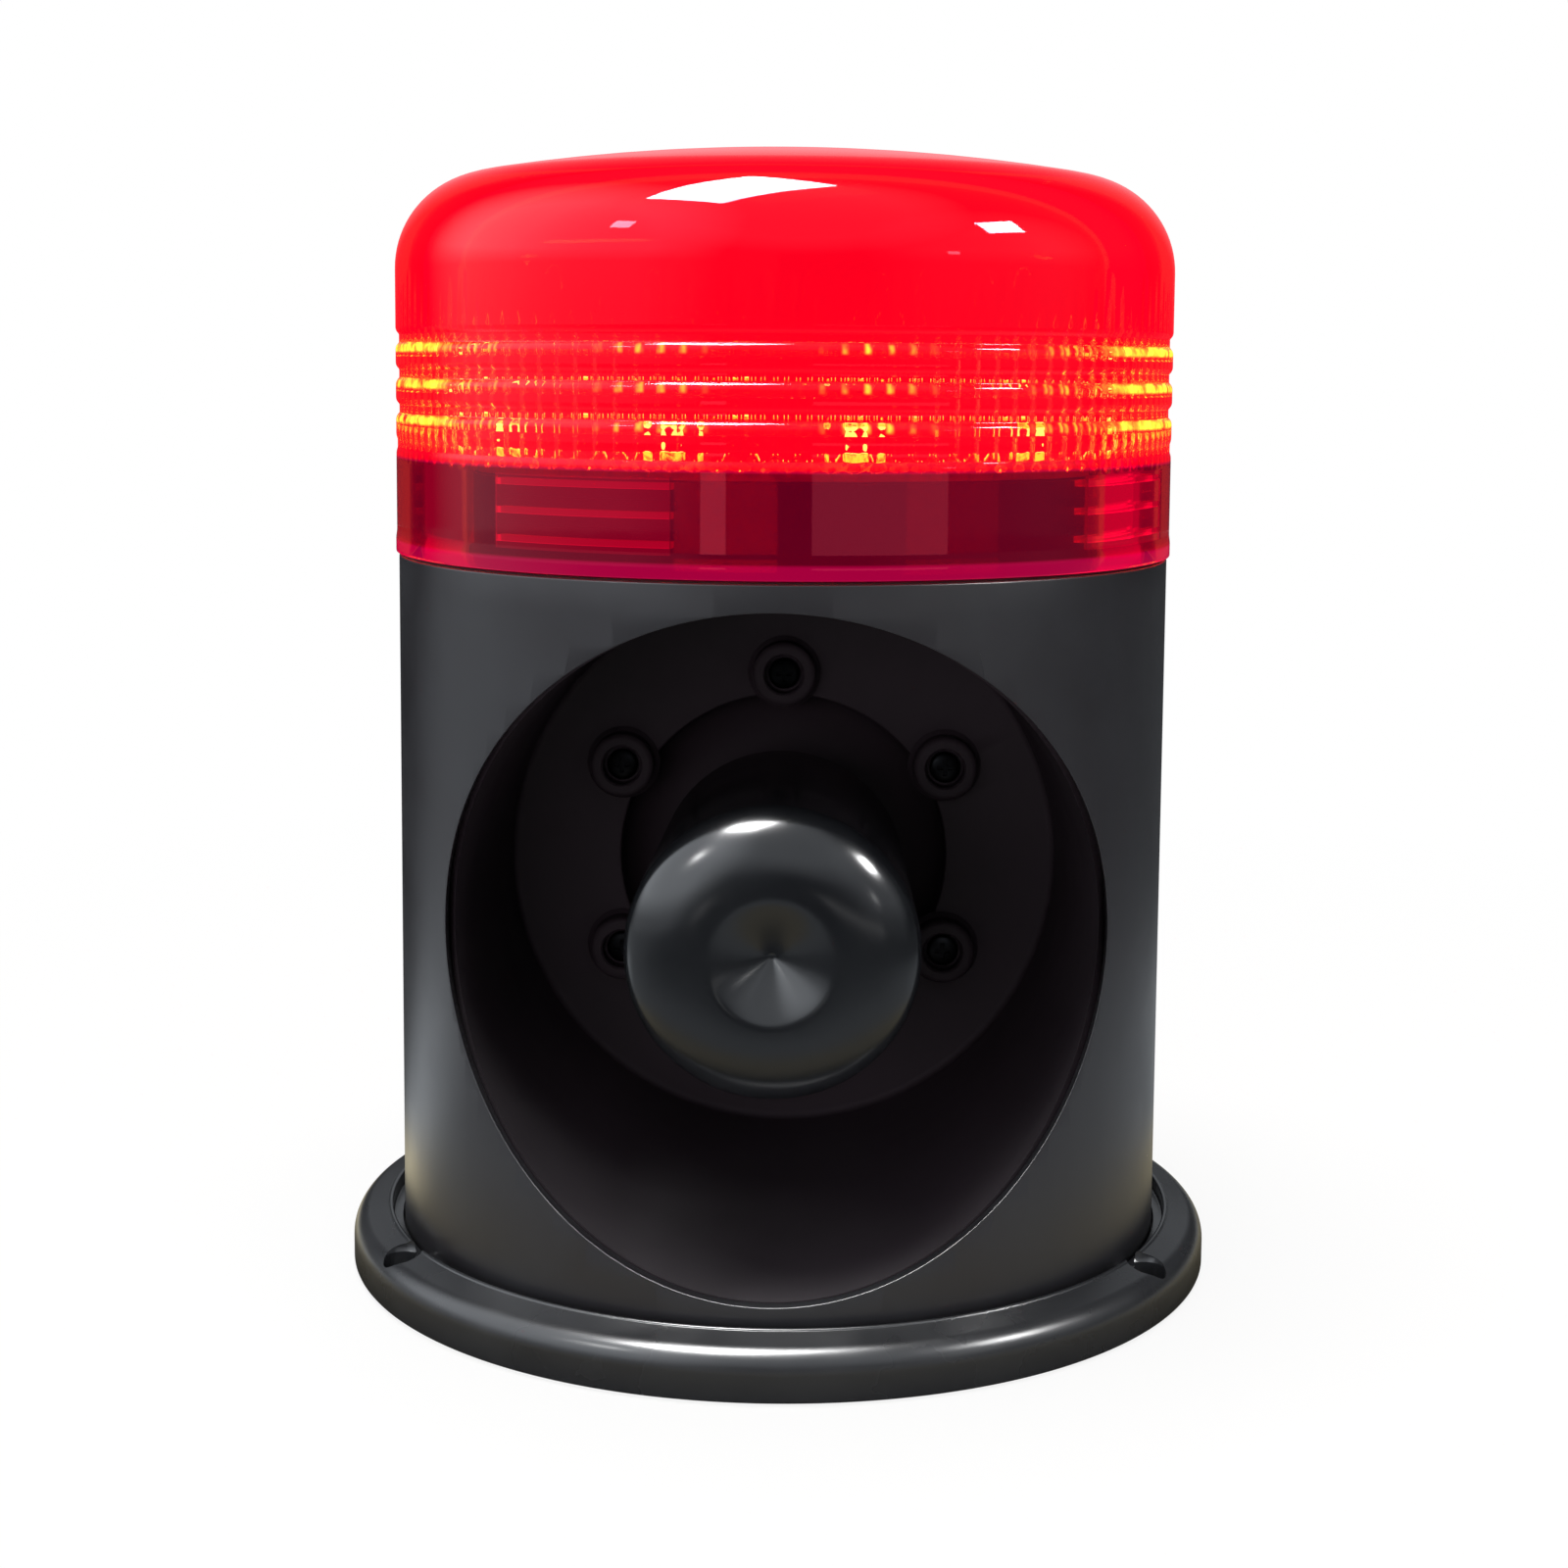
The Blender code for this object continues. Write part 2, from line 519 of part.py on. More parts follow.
def housing_shell():
    """The housing: a tube with a deck, the lens collar and its lugs, screw posts, and the horn's mouth."""
    groove_middle = HOUSING_INNER + HOUSING_WALL / 2
    groove_half = GASKET_WIDTH / 2 + SEAT_GAP
    groove_floor = LENS_BOTTOM - 2 * SEAT_GAP - GASKET_HEIGHT
    outline = [
        (0.0, DECK_TOP),
        (COLLAR_INNER, DECK_TOP),
        (COLLAR_INNER, COLLAR_TOP),
        (COLLAR_RADIUS, COLLAR_TOP),
        (COLLAR_RADIUS, DECK_TOP),
        (groove_middle - groove_half, DECK_TOP),
        (groove_middle - groove_half, groove_floor),
        (groove_middle + groove_half, groove_floor),
        (groove_middle + groove_half, DECK_TOP),
        (HOUSING_RADIUS - HOUSING_EDGE, DECK_TOP),
        (HOUSING_RADIUS, DECK_TOP - HOUSING_EDGE),
        (HOUSING_RADIUS, HOUSING_FOOT),
        (HOUSING_INNER, HOUSING_FOOT),
        (HOUSING_INNER, DECK_UNDERSIDE),
        (0.0, DECK_UNDERSIDE),
    ]
    housing = turned("housing_shell", outline, BLACK_ABS)
    lug_inner = COLLAR_RADIUS - FUSE
    stop_levels = [(ridge_levels()[0][0], lug_levels()[-1][1] - FUSE)]
    stop_offset = -STOP_GAP_ANGLE - STOP_SPAN
    stop_starts = lug_starts(stop_offset)
    lugs = arc_blocks("collar_lugs", lug_inner, LUG_RADIUS, lug_levels(), lug_starts(0.0), LUG_SPAN)
    stops = arc_blocks("collar_stops", lug_inner, LUG_RADIUS, stop_levels, stop_starts, STOP_SPAN, steps=1)
    base_posts = around(BASE_POST_COUNT, BASE_POST_FIRST_ANGLE, BASE_POST_CIRCLE)
    base_post_top = HOUSING_FOOT + BASE_POST_HEIGHT
    board_posts = main_board_holes()
    board_post_low = DECK_TOP - FUSE
    board_post_top = DECK_TOP + MAIN_BOARD_POST
    join(
        housing,
        lugs,
        stops,
        cylinders("base_posts", BASE_POST_RADIUS, HOUSING_FOOT, base_post_top, base_posts, steps=10),
        cylinders("deck_posts", MAIN_BOARD_POST_RADIUS, board_post_low, board_post_top, board_posts, steps=8),
    )
    mouth = cylinders("horn_mouth", HORN_RADIUS, 0.0, HOUSING_RADIUS + OVERCUT, [(0, 0)], steps=MAIN_STEPS)
    mouth.parent = HORN_AXIS
    hole_radius = GROMMET_NECK + SEAT_GAP
    hole_end = HOUSING_RADIUS + OVERCUT
    cable_hole = cylinders("cable_hole", hole_radius, HOUSING_INNER - OVERCUT, hole_end, [(0, 0)], steps=16)
    cable_hole.location = (0.0, 0.0, GROMMET_HEIGHT)
    cable_hole.rotation_euler = (-math.pi / 2, 0.0, 0.0)
    pilot_top = HOUSING_FOOT + SCREW_LENGTH
    below_deck = DECK_UNDERSIDE - OVERCUT
    above_deck = DECK_TOP + OVERCUT
    pilot_floor = board_post_top + BOARD_THICKNESS - SHORT_SCREW_LENGTH - SEAT_GAP
    cut(
        housing,
        mouth,
        cable_hole,
        cylinders("base_pilots", PILOT_RADIUS, 0.0, pilot_top, base_posts, steps=8),
        cylinders("board_pilots", PILOT_RADIUS, pilot_floor, board_post_top + OVERCUT, board_posts, steps=8),
        cylinders("bell_screw_holes", SCREW_HOLE_RADIUS, below_deck, above_deck, bell_posts(), steps=8),
        cylinders("lead_hole", LEAD_HOLE_RADIUS, below_deck, above_deck, [(0, lead_run())], steps=12),
    )
    return housing


def bell_posts():
    """(x, y) of the posts that hang the bell from the deck."""
    half = BELL_POST_SPREAD / 2
    return [(side * BELL_POST_SIDE, end * half) for side in (-1, 1) for end in (-1, 1)]


def lead_run():
    """How far behind the housing's axis the speaker leads rise, between the driver and the collar."""
    return COLLAR_INNER - LEAD_HOLE_RADIUS - LEAD_COLLAR_GAP


def horn_bell():
    """The bell: a tapered bucket whose front edge meets the housing wall, with screw bosses on its back."""
    back_taper = (BELL_RADIUS - BELL_BACK_OUTER) / (HOUSING_RADIUS - BELL_FACE)
    front = HOUSING_RADIUS + OVERCUT
    front_radius = BELL_RADIUS + back_taper * OVERCUT
    outer = [
        (0.0, front),
        (front_radius, front),
        (BELL_BACK_OUTER, BELL_FACE),
        (BELL_BACK_OUTER, BELL_BACK),
        (0.0, BELL_BACK),
    ]
    inner = [
        (0.0, front + OVERCUT),
        (front_radius + back_taper * OVERCUT - BELL_WALL, front + OVERCUT),
        (HORN_BACK_RADIUS, BELL_FACE),
        (0.0, BELL_FACE),
    ]
    bell = turned("horn_bell", outer, HORN_ABS, parent=HORN_AXIS)
    post_top = DECK_UNDERSIDE - SEAT_GAP
    side_drop = math.sqrt(BELL_BACK_OUTER**2 - BELL_POST_SIDE**2)
    post_low = HORN_HEIGHT + side_drop - BELL_POST_RADIUS * 2
    join(bell, cylinders("bell_posts", BELL_POST_RADIUS, post_low, post_top, bell_posts(), steps=10))
    room = cylinders("housing_room", HOUSING_INNER - SEAT_GAP, -OVERCUT, LENS_TOP, [(0, 0)], steps=MAIN_STEPS)
    boolean(bell, room, "INTERSECT")
    cut(bell, turned("bell_inside", inner, parent=HORN_AXIS))
    bosses = around(BOSS_COUNT, 0.0, BOSS_CIRCLE)
    boss_front = BELL_FACE + BOSS_HEIGHT
    pocket_floor = boss_front - BOSS_POCKET_DEPTH
    behind = BELL_BACK - OVERCUT
    opening = cylinders("throat_opening", THROAT_MOUTH_RADIUS, behind, BELL_FACE + FUSE, [(0, 0)])
    opening.parent = HORN_AXIS
    cut(bell, opening)
    boss_blank = cylinders("bell_bosses", BOSS_RADIUS, BELL_BACK + FUSE, boss_front, bosses, steps=14)
    before = boss_front + OVERCUT
    pockets = cylinders("boss_pockets", BOSS_POCKET_RADIUS, pocket_floor, before, bosses, steps=10)
    holes = cylinders("boss_holes", SCREW_HOLE_RADIUS, behind, boss_front, bosses, steps=8)
    for tool in (boss_blank, pockets, holes):
        tool.parent = HORN_AXIS
    join(bell, boss_blank)
    pilot_low = post_top - SCREW_LENGTH
    pilots = cylinders("bell_pilots", PILOT_RADIUS, pilot_low, post_top + OVERCUT, bell_posts(), steps=8)
    cut(bell, pockets, holes, pilots)
    return bell


def horn_throat():
    """The throat: the bowl that turns the sound forward again, and the tone tube on the horn's axis."""
    bowl_width = THROAT_MOUTH_RADIUS - TONE_TUBE_RADIUS
    bowl_middle = TONE_TUBE_RADIUS + bowl_width / 2
    bowl = [
        (bowl_middle - bowl_width / 2 * math.cos(turn), THROAT_FRONT - THROAT_BOWL_DEPTH * math.sin(turn))
        for turn in (math.pi * step / 6 for step in range(7))
    ]
    flange_back = THROAT_FRONT - THROAT_FLANGE_THICKNESS
    outline = [
        (TONE_TUBE_RADIUS, TONE_TUBE_FRONT),
        *bowl,
        (THROAT_FLANGE_RADIUS, THROAT_FRONT),
        (THROAT_FLANGE_RADIUS, flange_back),
        (THROAT_BODY_RADIUS, flange_back),
        (THROAT_BODY_RADIUS, THROAT_BACK),
        (DIAPHRAGM_RADIUS + DIAPHRAGM_PLAY, THROAT_BACK),
        (DIAPHRAGM_RADIUS + DIAPHRAGM_PLAY, DIAPHRAGM_RECESS),
        (COIL_OUTER + DOME_CLEARANCE * 2, DIAPHRAGM_RECESS),
        (THROAT_BORE_RADIUS, DOME_ROOM_FRONT),
        (TONE_TUBE_BORE, TONE_TUBE_FRONT),
    ]
    throat = turned("horn_throat", outline, HORN_ABS, HORN_STEPS, closed=True, parent=HORN_AXIS)
    bosses = around(BOSS_COUNT, 0.0, BOSS_CIRCLE)
    behind = flange_back - OVERCUT
    pilots = cylinders("throat_pilots", PILOT_RADIUS, behind, THROAT_FRONT + OVERCUT, bosses, steps=8)
    pilots.parent = HORN_AXIS
    cut(throat, pilots)
    return throat


def horn_bulb():
    """The bulb: a cup with a dimpled nose that sits over the tone tube on three ribs."""
    nose_back = BULB_FRONT - BULB_NOSE_LENGTH
    nose_width = BULB_RADIUS - BULB_FACE_RADIUS
    inner_nose = BULB_SKIRT_RADIUS - BULB_WALL
    inner_front = nose_back + BULB_NOSE_LENGTH - BULB_WALL - BULB_DIMPLE_DEPTH
    outer_nose = [
        (BULB_FACE_RADIUS + nose_width * math.sin(turn), nose_back + BULB_NOSE_LENGTH * math.cos(turn))
        for turn in (math.pi / 2 * step / 6 for step in range(7))
    ]
    cup_inside = [
        (inner_nose * math.cos(turn), nose_back + (inner_front - nose_back) * math.sin(turn))
        for turn in (math.pi / 2 * step / 3 for step in range(3))
    ]
    outline = [
        (0.0, BULB_FRONT - BULB_DIMPLE_DEPTH),
        *outer_nose,
        (BULB_SKIRT_RADIUS, BULB_BACK),
        (inner_nose, BULB_BACK),
        *cup_inside,
        (0.0, inner_front),
    ]
    bulb = turned("horn_bulb", outline, HORN_ABS, MAIN_STEPS, parent=HORN_AXIS)
    rib_inner = TONE_TUBE_RADIUS + SEAT_GAP
    rib_outer = inner_nose + FUSE
    rib_back = BULB_BACK + BULB_RIB_INSET
    for index in range(BULB_RIB_COUNT):
        size = (BULB_RIB_THICKNESS, rib_outer - rib_inner, BULB_RIB_LENGTH)
        centre = (0.0, (rib_outer + rib_inner) / 2, rib_back + BULB_RIB_LENGTH / 2)
        turn = math.tau * index / BULB_RIB_COUNT
        join(bulb, boxes(f"bulb_rib_{index + 1}", size, [centre], parent=HORN_AXIS, turn=turn))
    return bulb


def driver():
    """The driver's fixed iron: top plate, ferrite ring and the yoke with its pole."""
    plate = [
        (PLATE_RADIUS, PLATE_FRONT),
        (PLATE_RADIUS, PLATE_BACK),
        (PLATE_BORE, PLATE_BACK),
        (PLATE_BORE, PLATE_FRONT),
    ]
    ring = [
        (MAGNET_RADIUS, MAGNET_BACK + MAGNET_THICKNESS),
        (MAGNET_RADIUS, MAGNET_BACK),
        (MAGNET_BORE, MAGNET_BACK),
        (MAGNET_BORE, MAGNET_BACK + MAGNET_THICKNESS),
    ]
    yoke_front = YOKE_BACK + YOKE_THICKNESS
    yoke = [
        (0.0, PLATE_FRONT - SEAT_GAP),
        (POLE_RADIUS, PLATE_FRONT - SEAT_GAP),
        (POLE_RADIUS, yoke_front),
        (PLATE_RADIUS, yoke_front),
        (PLATE_RADIUS, YOKE_BACK),
        (0.0, YOKE_BACK),
    ]
    turned("driver_top_plate", plate, BLACK_STEEL, SMALL_STEPS, closed=True, parent=HORN_AXIS)
    turned("driver_magnet", ring, FERRITE, SMALL_STEPS, closed=True, parent=HORN_AXIS)
    turned("driver_yoke", yoke, BLACK_STEEL, SMALL_STEPS, parent=HORN_AXIS)


def diaphragm_and_coil():
    """The moving pair: a domed diaphragm and the voice coil behind it."""
    dome = [
        (COIL_OUTER * math.sin(turn), DIAPHRAGM_FRONT + DOME_RISE * math.cos(turn))
        for turn in (math.pi / 2 * step / 4 for step in range(5))
    ]
    inside = [(radius, height - DIAPHRAGM_THICKNESS) for radius, height in reversed(dome)]
    outline = [
        *dome,
        (DIAPHRAGM_RADIUS, DIAPHRAGM_FRONT),
        (DIAPHRAGM_RADIUS, DIAPHRAGM_BACK),
        *inside,
    ]
    coil_front = DIAPHRAGM_BACK - SEAT_GAP
    coil = [
        (COIL_OUTER, coil_front),
        (COIL_OUTER, coil_front - COIL_LENGTH),
        (COIL_RADIUS, coil_front - COIL_LENGTH),
        (COIL_RADIUS, coil_front),
    ]
    turned("diaphragm", outline, PHENOLIC, SMALL_STEPS, parent=HORN_AXIS)
    turned("voice_coil", coil, COPPER, SMALL_STEPS, closed=True, parent=HORN_AXIS)


def lens_outline():
    """The lens: a rim bead, a plain skirt, ribbed rings, a plain wall, a round shoulder and a shallow cap."""
    ring_top = LENS_BOTTOM + RING_START + RING_COUNT * RING_PITCH
    rings = []
    for index in range(RING_COUNT):
        for step in range(2):
            share = step / 2
            height = ring_top - RING_PITCH * (index + share)
            rings.append((LENS_RADIUS - RING_GROOVE_DEPTH * (2 * share - 1) ** 2, height))
    rings.append((LENS_RADIUS - RING_GROOVE_DEPTH, ring_top - RING_PITCH * RING_COUNT))
    outer = [
        *dome_points(LENS_RADIUS, LENS_SHOULDER_RADIUS, LENS_CAP_RADIUS, LENS_TOP, 3, 5),
        (LENS_RADIUS, ring_top + RING_PITCH / 2),
        *rings,
        (LENS_RADIUS, rings[-1][1] - RING_PITCH / 2),
        (LENS_RADIUS, LENS_BOTTOM + LENS_RIM_HEIGHT + LENS_RIM_BEAD),
        (LENS_RADIUS + LENS_RIM_BEAD, LENS_BOTTOM + LENS_RIM_HEIGHT),
        (LENS_RADIUS + LENS_RIM_BEAD, LENS_BOTTOM),
        (LENS_INNER, LENS_BOTTOM),
    ]
    inner_cap = LENS_CAP_RADIUS - LENS_WALL
    inner_shoulder = LENS_SHOULDER_RADIUS - LENS_WALL
    inner = dome_points(LENS_INNER, inner_shoulder, inner_cap, LENS_TOP - LENS_WALL, 2, 3)
    return [*outer, *reversed(inner)]


def dome_points(wall, shoulder, cap, top, cap_count, shoulder_count):
    """Points from the top of a dome down to the foot of its shoulder: a cap arc that meets a shoulder arc."""
    cap_centre = top - cap
    lean = math.acos((wall - shoulder) / (cap - shoulder))
    shoulder_centre = (wall - shoulder, cap_centre + (cap - shoulder) * math.sin(lean))
    lean_degrees = math.degrees(lean)
    cap_arc = arc((0.0, cap_centre), cap, 90, lean_degrees, cap_count)
    cap_arc[0] = (0.0, top)
    return cap_arc + arc(shoulder_centre, shoulder, lean_degrees, 0, shoulder_count)[1:]


def lens_dome():
    """The lens with its thread ridges, which run under the collar's lugs."""
    lens = turned("lens_dome", lens_outline(), RED_LENS)
    ridge_outer = LENS_INNER + FUSE
    ridges = arc_blocks("lens_ridges", RIDGE_INNER, ridge_outer, ridge_levels(), lug_starts(0.0), LUG_SPAN)
    join(lens, ridges)
    return lens


def lens_gasket():
    """The rubber ring in the housing's top edge, under the lens rim."""
    middle = HOUSING_INNER + HOUSING_WALL / 2
    top = LENS_BOTTOM - SEAT_GAP
    outline = [
        (middle + GASKET_WIDTH / 2, top),
        (middle + GASKET_WIDTH / 2, top - GASKET_HEIGHT),
        (middle - GASKET_WIDTH / 2, top - GASKET_HEIGHT),
        (middle - GASKET_WIDTH / 2, top),
    ]
    return turned("lens_gasket", outline, BLACK_RUBBER, closed=True)


def led_board():
    """The round board on the collar's rim, its standoffs and their screws."""
    outline = [
        (COLLAR_RADIUS, LED_BOARD_TOP),
        (COLLAR_RADIUS, LED_BOARD_BOTTOM),
        (LED_BOARD_OPENING, LED_BOARD_BOTTOM),
        (LED_BOARD_OPENING, LED_BOARD_TOP),
    ]
    board = turned("led_board", outline, BOARD_WHITE, HORN_STEPS, closed=True)
    standoffs = around(STANDOFF_COUNT, STANDOFF_FIRST_ANGLE, STANDOFF_CIRCLE)
    top = LED_BOARD_BOTTOM - SEAT_GAP
    below = LED_BOARD_BOTTOM - OVERCUT
    above = LED_BOARD_TOP + OVERCUT
    cut(board, cylinders("led_board_holes", SCREW_HOLE_RADIUS, below, above, standoffs, steps=8))
    for index, (x, y) in enumerate(standoffs):
        name = f"led_standoff_{index + 1}"
        post = cylinders(name, STANDOFF_RADIUS, DECK_TOP + SEAT_GAP, top, [(x, y)], BRASS, steps=6)
        low = top - SCREW_LENGTH
        cut(post, cylinders(f"{name}_thread", PILOT_RADIUS, low, top + OVERCUT, [(x, y)], steps=8))
        seat = LED_BOARD_TOP + SEAT_GAP
        screw(f"led_board_screw_{index + 1}", SHORT_SCREW_LENGTH, location=(x, y, seat))
    return board


def leds():
    """The side-looking lamps round the edge of the round board: blocks with a rounded front."""
    bulge = LED_WIDTH / 2
    rounded = [(bulge * math.sin(turn), -LED_DEPTH * math.cos(turn)) for turn in half_turn(6)]
    outline = [(bulge, LED_DEPTH / 2), (-bulge, LED_DEPTH / 2), *rounded]
    for index, (x, y) in enumerate(around(LED_COUNT, LED_FIRST_ANGLE, LED_CIRCLE)):
        lamp = flat_outline(f"led_{index + 1:02d}", outline, LED_HEIGHT, LED_RESIN)
        lamp.location = (x, y, LED_BOARD_TOP + SEAT_GAP + LED_HEIGHT / 2)
        lamp.rotation_euler = (0.0, 0.0, math.atan2(x, -y))


def half_turn(count):
    """Angles from a quarter turn one way to a quarter turn the other."""
    return [math.pi * (step / count - 0.5) for step in range(count + 1)]


def flat_outline(name, outline, thickness, finish):
    """A flat outline made solid: a 2D curve, filled and extruded by half its thickness each way."""
    curve = bpy.data.curves.new(name, "CURVE")
    curve.dimensions = "2D"
    curve.fill_mode = "BOTH"
    curve.extrude = thickness / 2
    spline = curve.splines.new("POLY")
    spline.points.add(len(outline) - 1)
    for point, (x, y) in zip(spline.points, outline):
        point.co = (x, y, 0.0, 1.0)
    spline.use_cyclic_u = True
    return add_object(name, curve, finish)


def main_board_holes():
    """(x, y) of the main board's screws, at two opposite corners, and of its other posts."""
    half_x = MAIN_BOARD_WIDTH / 2 - MAIN_BOARD_HOLE_INSET
    half_y = MAIN_BOARD_LENGTH / 2 - MAIN_BOARD_HOLE_INSET
    return [(-half_x, -half_y), (half_x, half_y), (-half_x, half_y), (half_x, -half_y)]


def main_board():
    """The sound board on the deck's posts, with its screws."""
    middle = (0.0, 0.0, MAIN_BOARD_BOTTOM + BOARD_THICKNESS / 2)
    size = (MAIN_BOARD_WIDTH, MAIN_BOARD_LENGTH, BOARD_THICKNESS)
    board = boxes("main_board", size, [middle], BOARD_GREEN)
    screwed = main_board_holes()[:2]
    below = MAIN_BOARD_BOTTOM - OVERCUT
    above = MAIN_BOARD_TOP + OVERCUT
    cut(board, cylinders("main_board_screw_holes", SCREW_HOLE_RADIUS, below, above, screwed, steps=8))
    for index, (x, y) in enumerate(screwed):
        screw(f"main_board_screw_{index + 1}", SHORT_SCREW_LENGTH, location=(x, y, PARTS_SEAT))
    return board


def board_parts():
    """What stands on the sound board: terminals, capacitors, transformer, heat sink and volume control."""
    edge = MAIN_BOARD_LENGTH / 2
    width, depth, height = TERMINAL_SIZE
    block_y = edge - depth / 2 - TERMINAL_INSET
    block = boxes("terminal_block", TERMINAL_SIZE, [(0.0, block_y, PARTS_SEAT + height / 2)], TERMINAL_GREEN)
    pitch = width / TERMINAL_WAYS
    way_y = block_y + depth / 2
    way_z = PARTS_SEAT + height * 0.4
    ways = [(pitch * (way - (TERMINAL_WAYS - 1) / 2), way_y, way_z) for way in range(TERMINAL_WAYS)]
    cut(block, boxes("terminal_ways", (TERMINAL_WAY_SIZE, depth, TERMINAL_WAY_SIZE), ways))

    crimp = CAPACITOR_RADIUS * 0.92
    can = [
        (0.0, CAPACITOR_HEIGHT),
        (crimp, CAPACITOR_HEIGHT),
        (CAPACITOR_RADIUS, CAPACITOR_HEIGHT * 0.95),
        (CAPACITOR_RADIUS, CAPACITOR_HEIGHT * 0.22),
        (crimp, CAPACITOR_HEIGHT * 0.17),
        (CAPACITOR_RADIUS, CAPACITOR_HEIGHT * 0.12),
        (CAPACITOR_RADIUS, 0.0),
        (0.0, 0.0),
    ]
    for index in range(2):
        place = (CAPACITOR_PLACE[0] + CAPACITOR_SPACING * index, CAPACITOR_PLACE[1], PARTS_SEAT)
        turned(f"capacitor_{index + 1}", can, CAN_SLEEVE, 14, location=place)

    core_place = (*TRANSFORMER_PLACE, PARTS_SEAT + CORE_SIZE[2] / 2)
    core = boxes("audio_transformer", CORE_SIZE, [core_place], BLACK_STEEL)
    join(core, boxes("transformer_winding", WINDING_SIZE, [core_place]))

    sink = flat_outline("amplifier_heatsink", comb_outline(), HEATSINK_HEIGHT, ALUMINIUM)
    sink.location = (*HEATSINK_PLACE, PARTS_SEAT + HEATSINK_HEIGHT / 2)


def comb_outline():
    """A finned heat sink in plan: a back web with fins standing off it."""
    half = HEATSINK_LENGTH / 2
    step = (HEATSINK_LENGTH - HEATSINK_FIN) / (HEATSINK_FINS - 1)
    outline = [(half, 0.0), (-half, 0.0)]
    for fin in range(HEATSINK_FINS):
        left = -half + step * fin
        right = left + HEATSINK_FIN
        root = HEATSINK_FIN
        outline += [(left, root), (left, HEATSINK_DEPTH), (right, HEATSINK_DEPTH), (right, root)]
    return outline


def volume_control():
    """The volume control: a square body with a seat, and the slotted knob that turns in it."""
    x, y = POT_PLACE
    seat = PARTS_SEAT + POT_HEIGHT - KNOB_SEAT_DEPTH
    middle = (x, y, PARTS_SEAT + POT_HEIGHT / 2)
    body = boxes("volume_pot", (POT_SIZE, POT_SIZE, POT_HEIGHT), [middle], POT_BLUE)
    cut(body, cylinders("pot_seat", KNOB_RADIUS + SEAT_GAP, seat, seat + OVERCUT, [(x, y)], steps=20))
    knob_low = seat + SEAT_GAP
    knob_top = knob_low + KNOB_HEIGHT
    knob_points = [
        (0.0, KNOB_HEIGHT),
        (KNOB_RADIUS * 0.85, KNOB_HEIGHT),
        (KNOB_RADIUS, KNOB_HEIGHT * 0.92),
        (KNOB_RADIUS, 0.0),
        (0.0, 0.0),
    ]
    knob = turned("volume_knob", knob_points, NYLON_WHITE, 20, location=(x, y, knob_low))
    slot_size = (KNOB_RADIUS * 3, KNOB_SLOT, KNOB_SLOT * 2)
    cut(knob, boxes("knob_slot", slot_size, [(x, y, knob_top)]))
    return knob


def cable_grommet():
    """The rubber grommet in the back of the housing."""
    wall_sag = HOUSING_INNER - math.sqrt(HOUSING_INNER**2 - GROMMET_FLANGE**2)
    outside = HOUSING_RADIUS + SEAT_GAP
    inside = HOUSING_INNER - wall_sag - SEAT_GAP
    outline = [
        (GROMMET_FLANGE - GROMMET_LIP / 2, outside + GROMMET_LIP),
        (GROMMET_FLANGE, outside + GROMMET_LIP / 2),
        (GROMMET_FLANGE, outside),
        (GROMMET_NECK, outside),
        (GROMMET_NECK, inside),
        (GROMMET_FLANGE, inside),
        (GROMMET_FLANGE, inside - GROMMET_LIP),
        (GROMMET_BORE, inside - GROMMET_LIP),
        (GROMMET_BORE, outside + GROMMET_LIP),
    ]
    grommet = turned("cable_grommet", outline, BLACK_RUBBER, 16, closed=True)
    grommet.location = (0.0, 0.0, GROMMET_HEIGHT)
    grommet.rotation_euler = (-math.pi / 2, 0.0, 0.0)
    return grommet


def curve_points(controls, count):
    """Evenly spaced points on one smooth curve through the control points."""
    ends = [controls[0] * 2 - controls[1], *controls, controls[-1] * 2 - controls[-2]]
    points = []
    for step in range(count):
        along = step / (count - 1) * (len(controls) - 1)
        part = min(int(along), len(controls) - 2)
        t = along - part
        before, start, end, after = ends[part : part + 4]
        points.append(
            start
            + (end - before) * (t / 2)
            + (before * 2 - start * 5 + end * 4 - after) * (t * t / 2)
            + (after - end * 3 + start * 3 - before) * (t**3 / 2)
        )
    return points


def speaker_leads():
    """The two leads from the driver's top plate, up through the deck, to the sound board's back edge."""
    plate_y = -(PLATE_BACK + PLATE_FRONT) / 2
    plate_top = HORN_HEIGHT + PLATE_RADIUS + SEAT_GAP
    board_edge = MAIN_BOARD_LENGTH / 2
    for side, name, finish in ((-1, "speaker_lead_red", LEAD_RED), (1, "speaker_lead_black", LEAD_BLACK)):
        near = side * LEAD_SPACING / 2
        board_x = side * (TERMINAL_SIZE[0] / 2 + LEAD_LANDING)
        seat = MAIN_BOARD_TOP + SEAT_GAP + LEAD_RADIUS
        controls = [
            Vector((near, plate_y, plate_top + LEAD_RADIUS)),
            Vector((near, plate_y, plate_top + LEAD_REACH)),
            Vector((near * 0.8, lead_run(), DECK_UNDERSIDE - LEAD_REACH)),
            Vector((near * 0.8, lead_run(), DECK_TOP + LEAD_REACH / 2)),
            Vector((board_x, board_edge + LEAD_REACH, seat + LEAD_REACH / 2)),
            Vector((board_x, board_edge - LEAD_LANDING, seat)),
        ]
        curve = bpy.data.curves.new(name, "CURVE")
        curve.dimensions = "3D"
        curve.bevel_depth = LEAD_RADIUS
        curve.bevel_resolution = 1
        curve.use_fill_caps = True
        spline = curve.splines.new("POLY")
        points = curve_points(controls, LEAD_POINTS)
        spline.points.add(len(points) - 1)
        for point, place in zip(spline.points, points):
            point.co = (*place, 1.0)
        add_object(name, curve, finish)


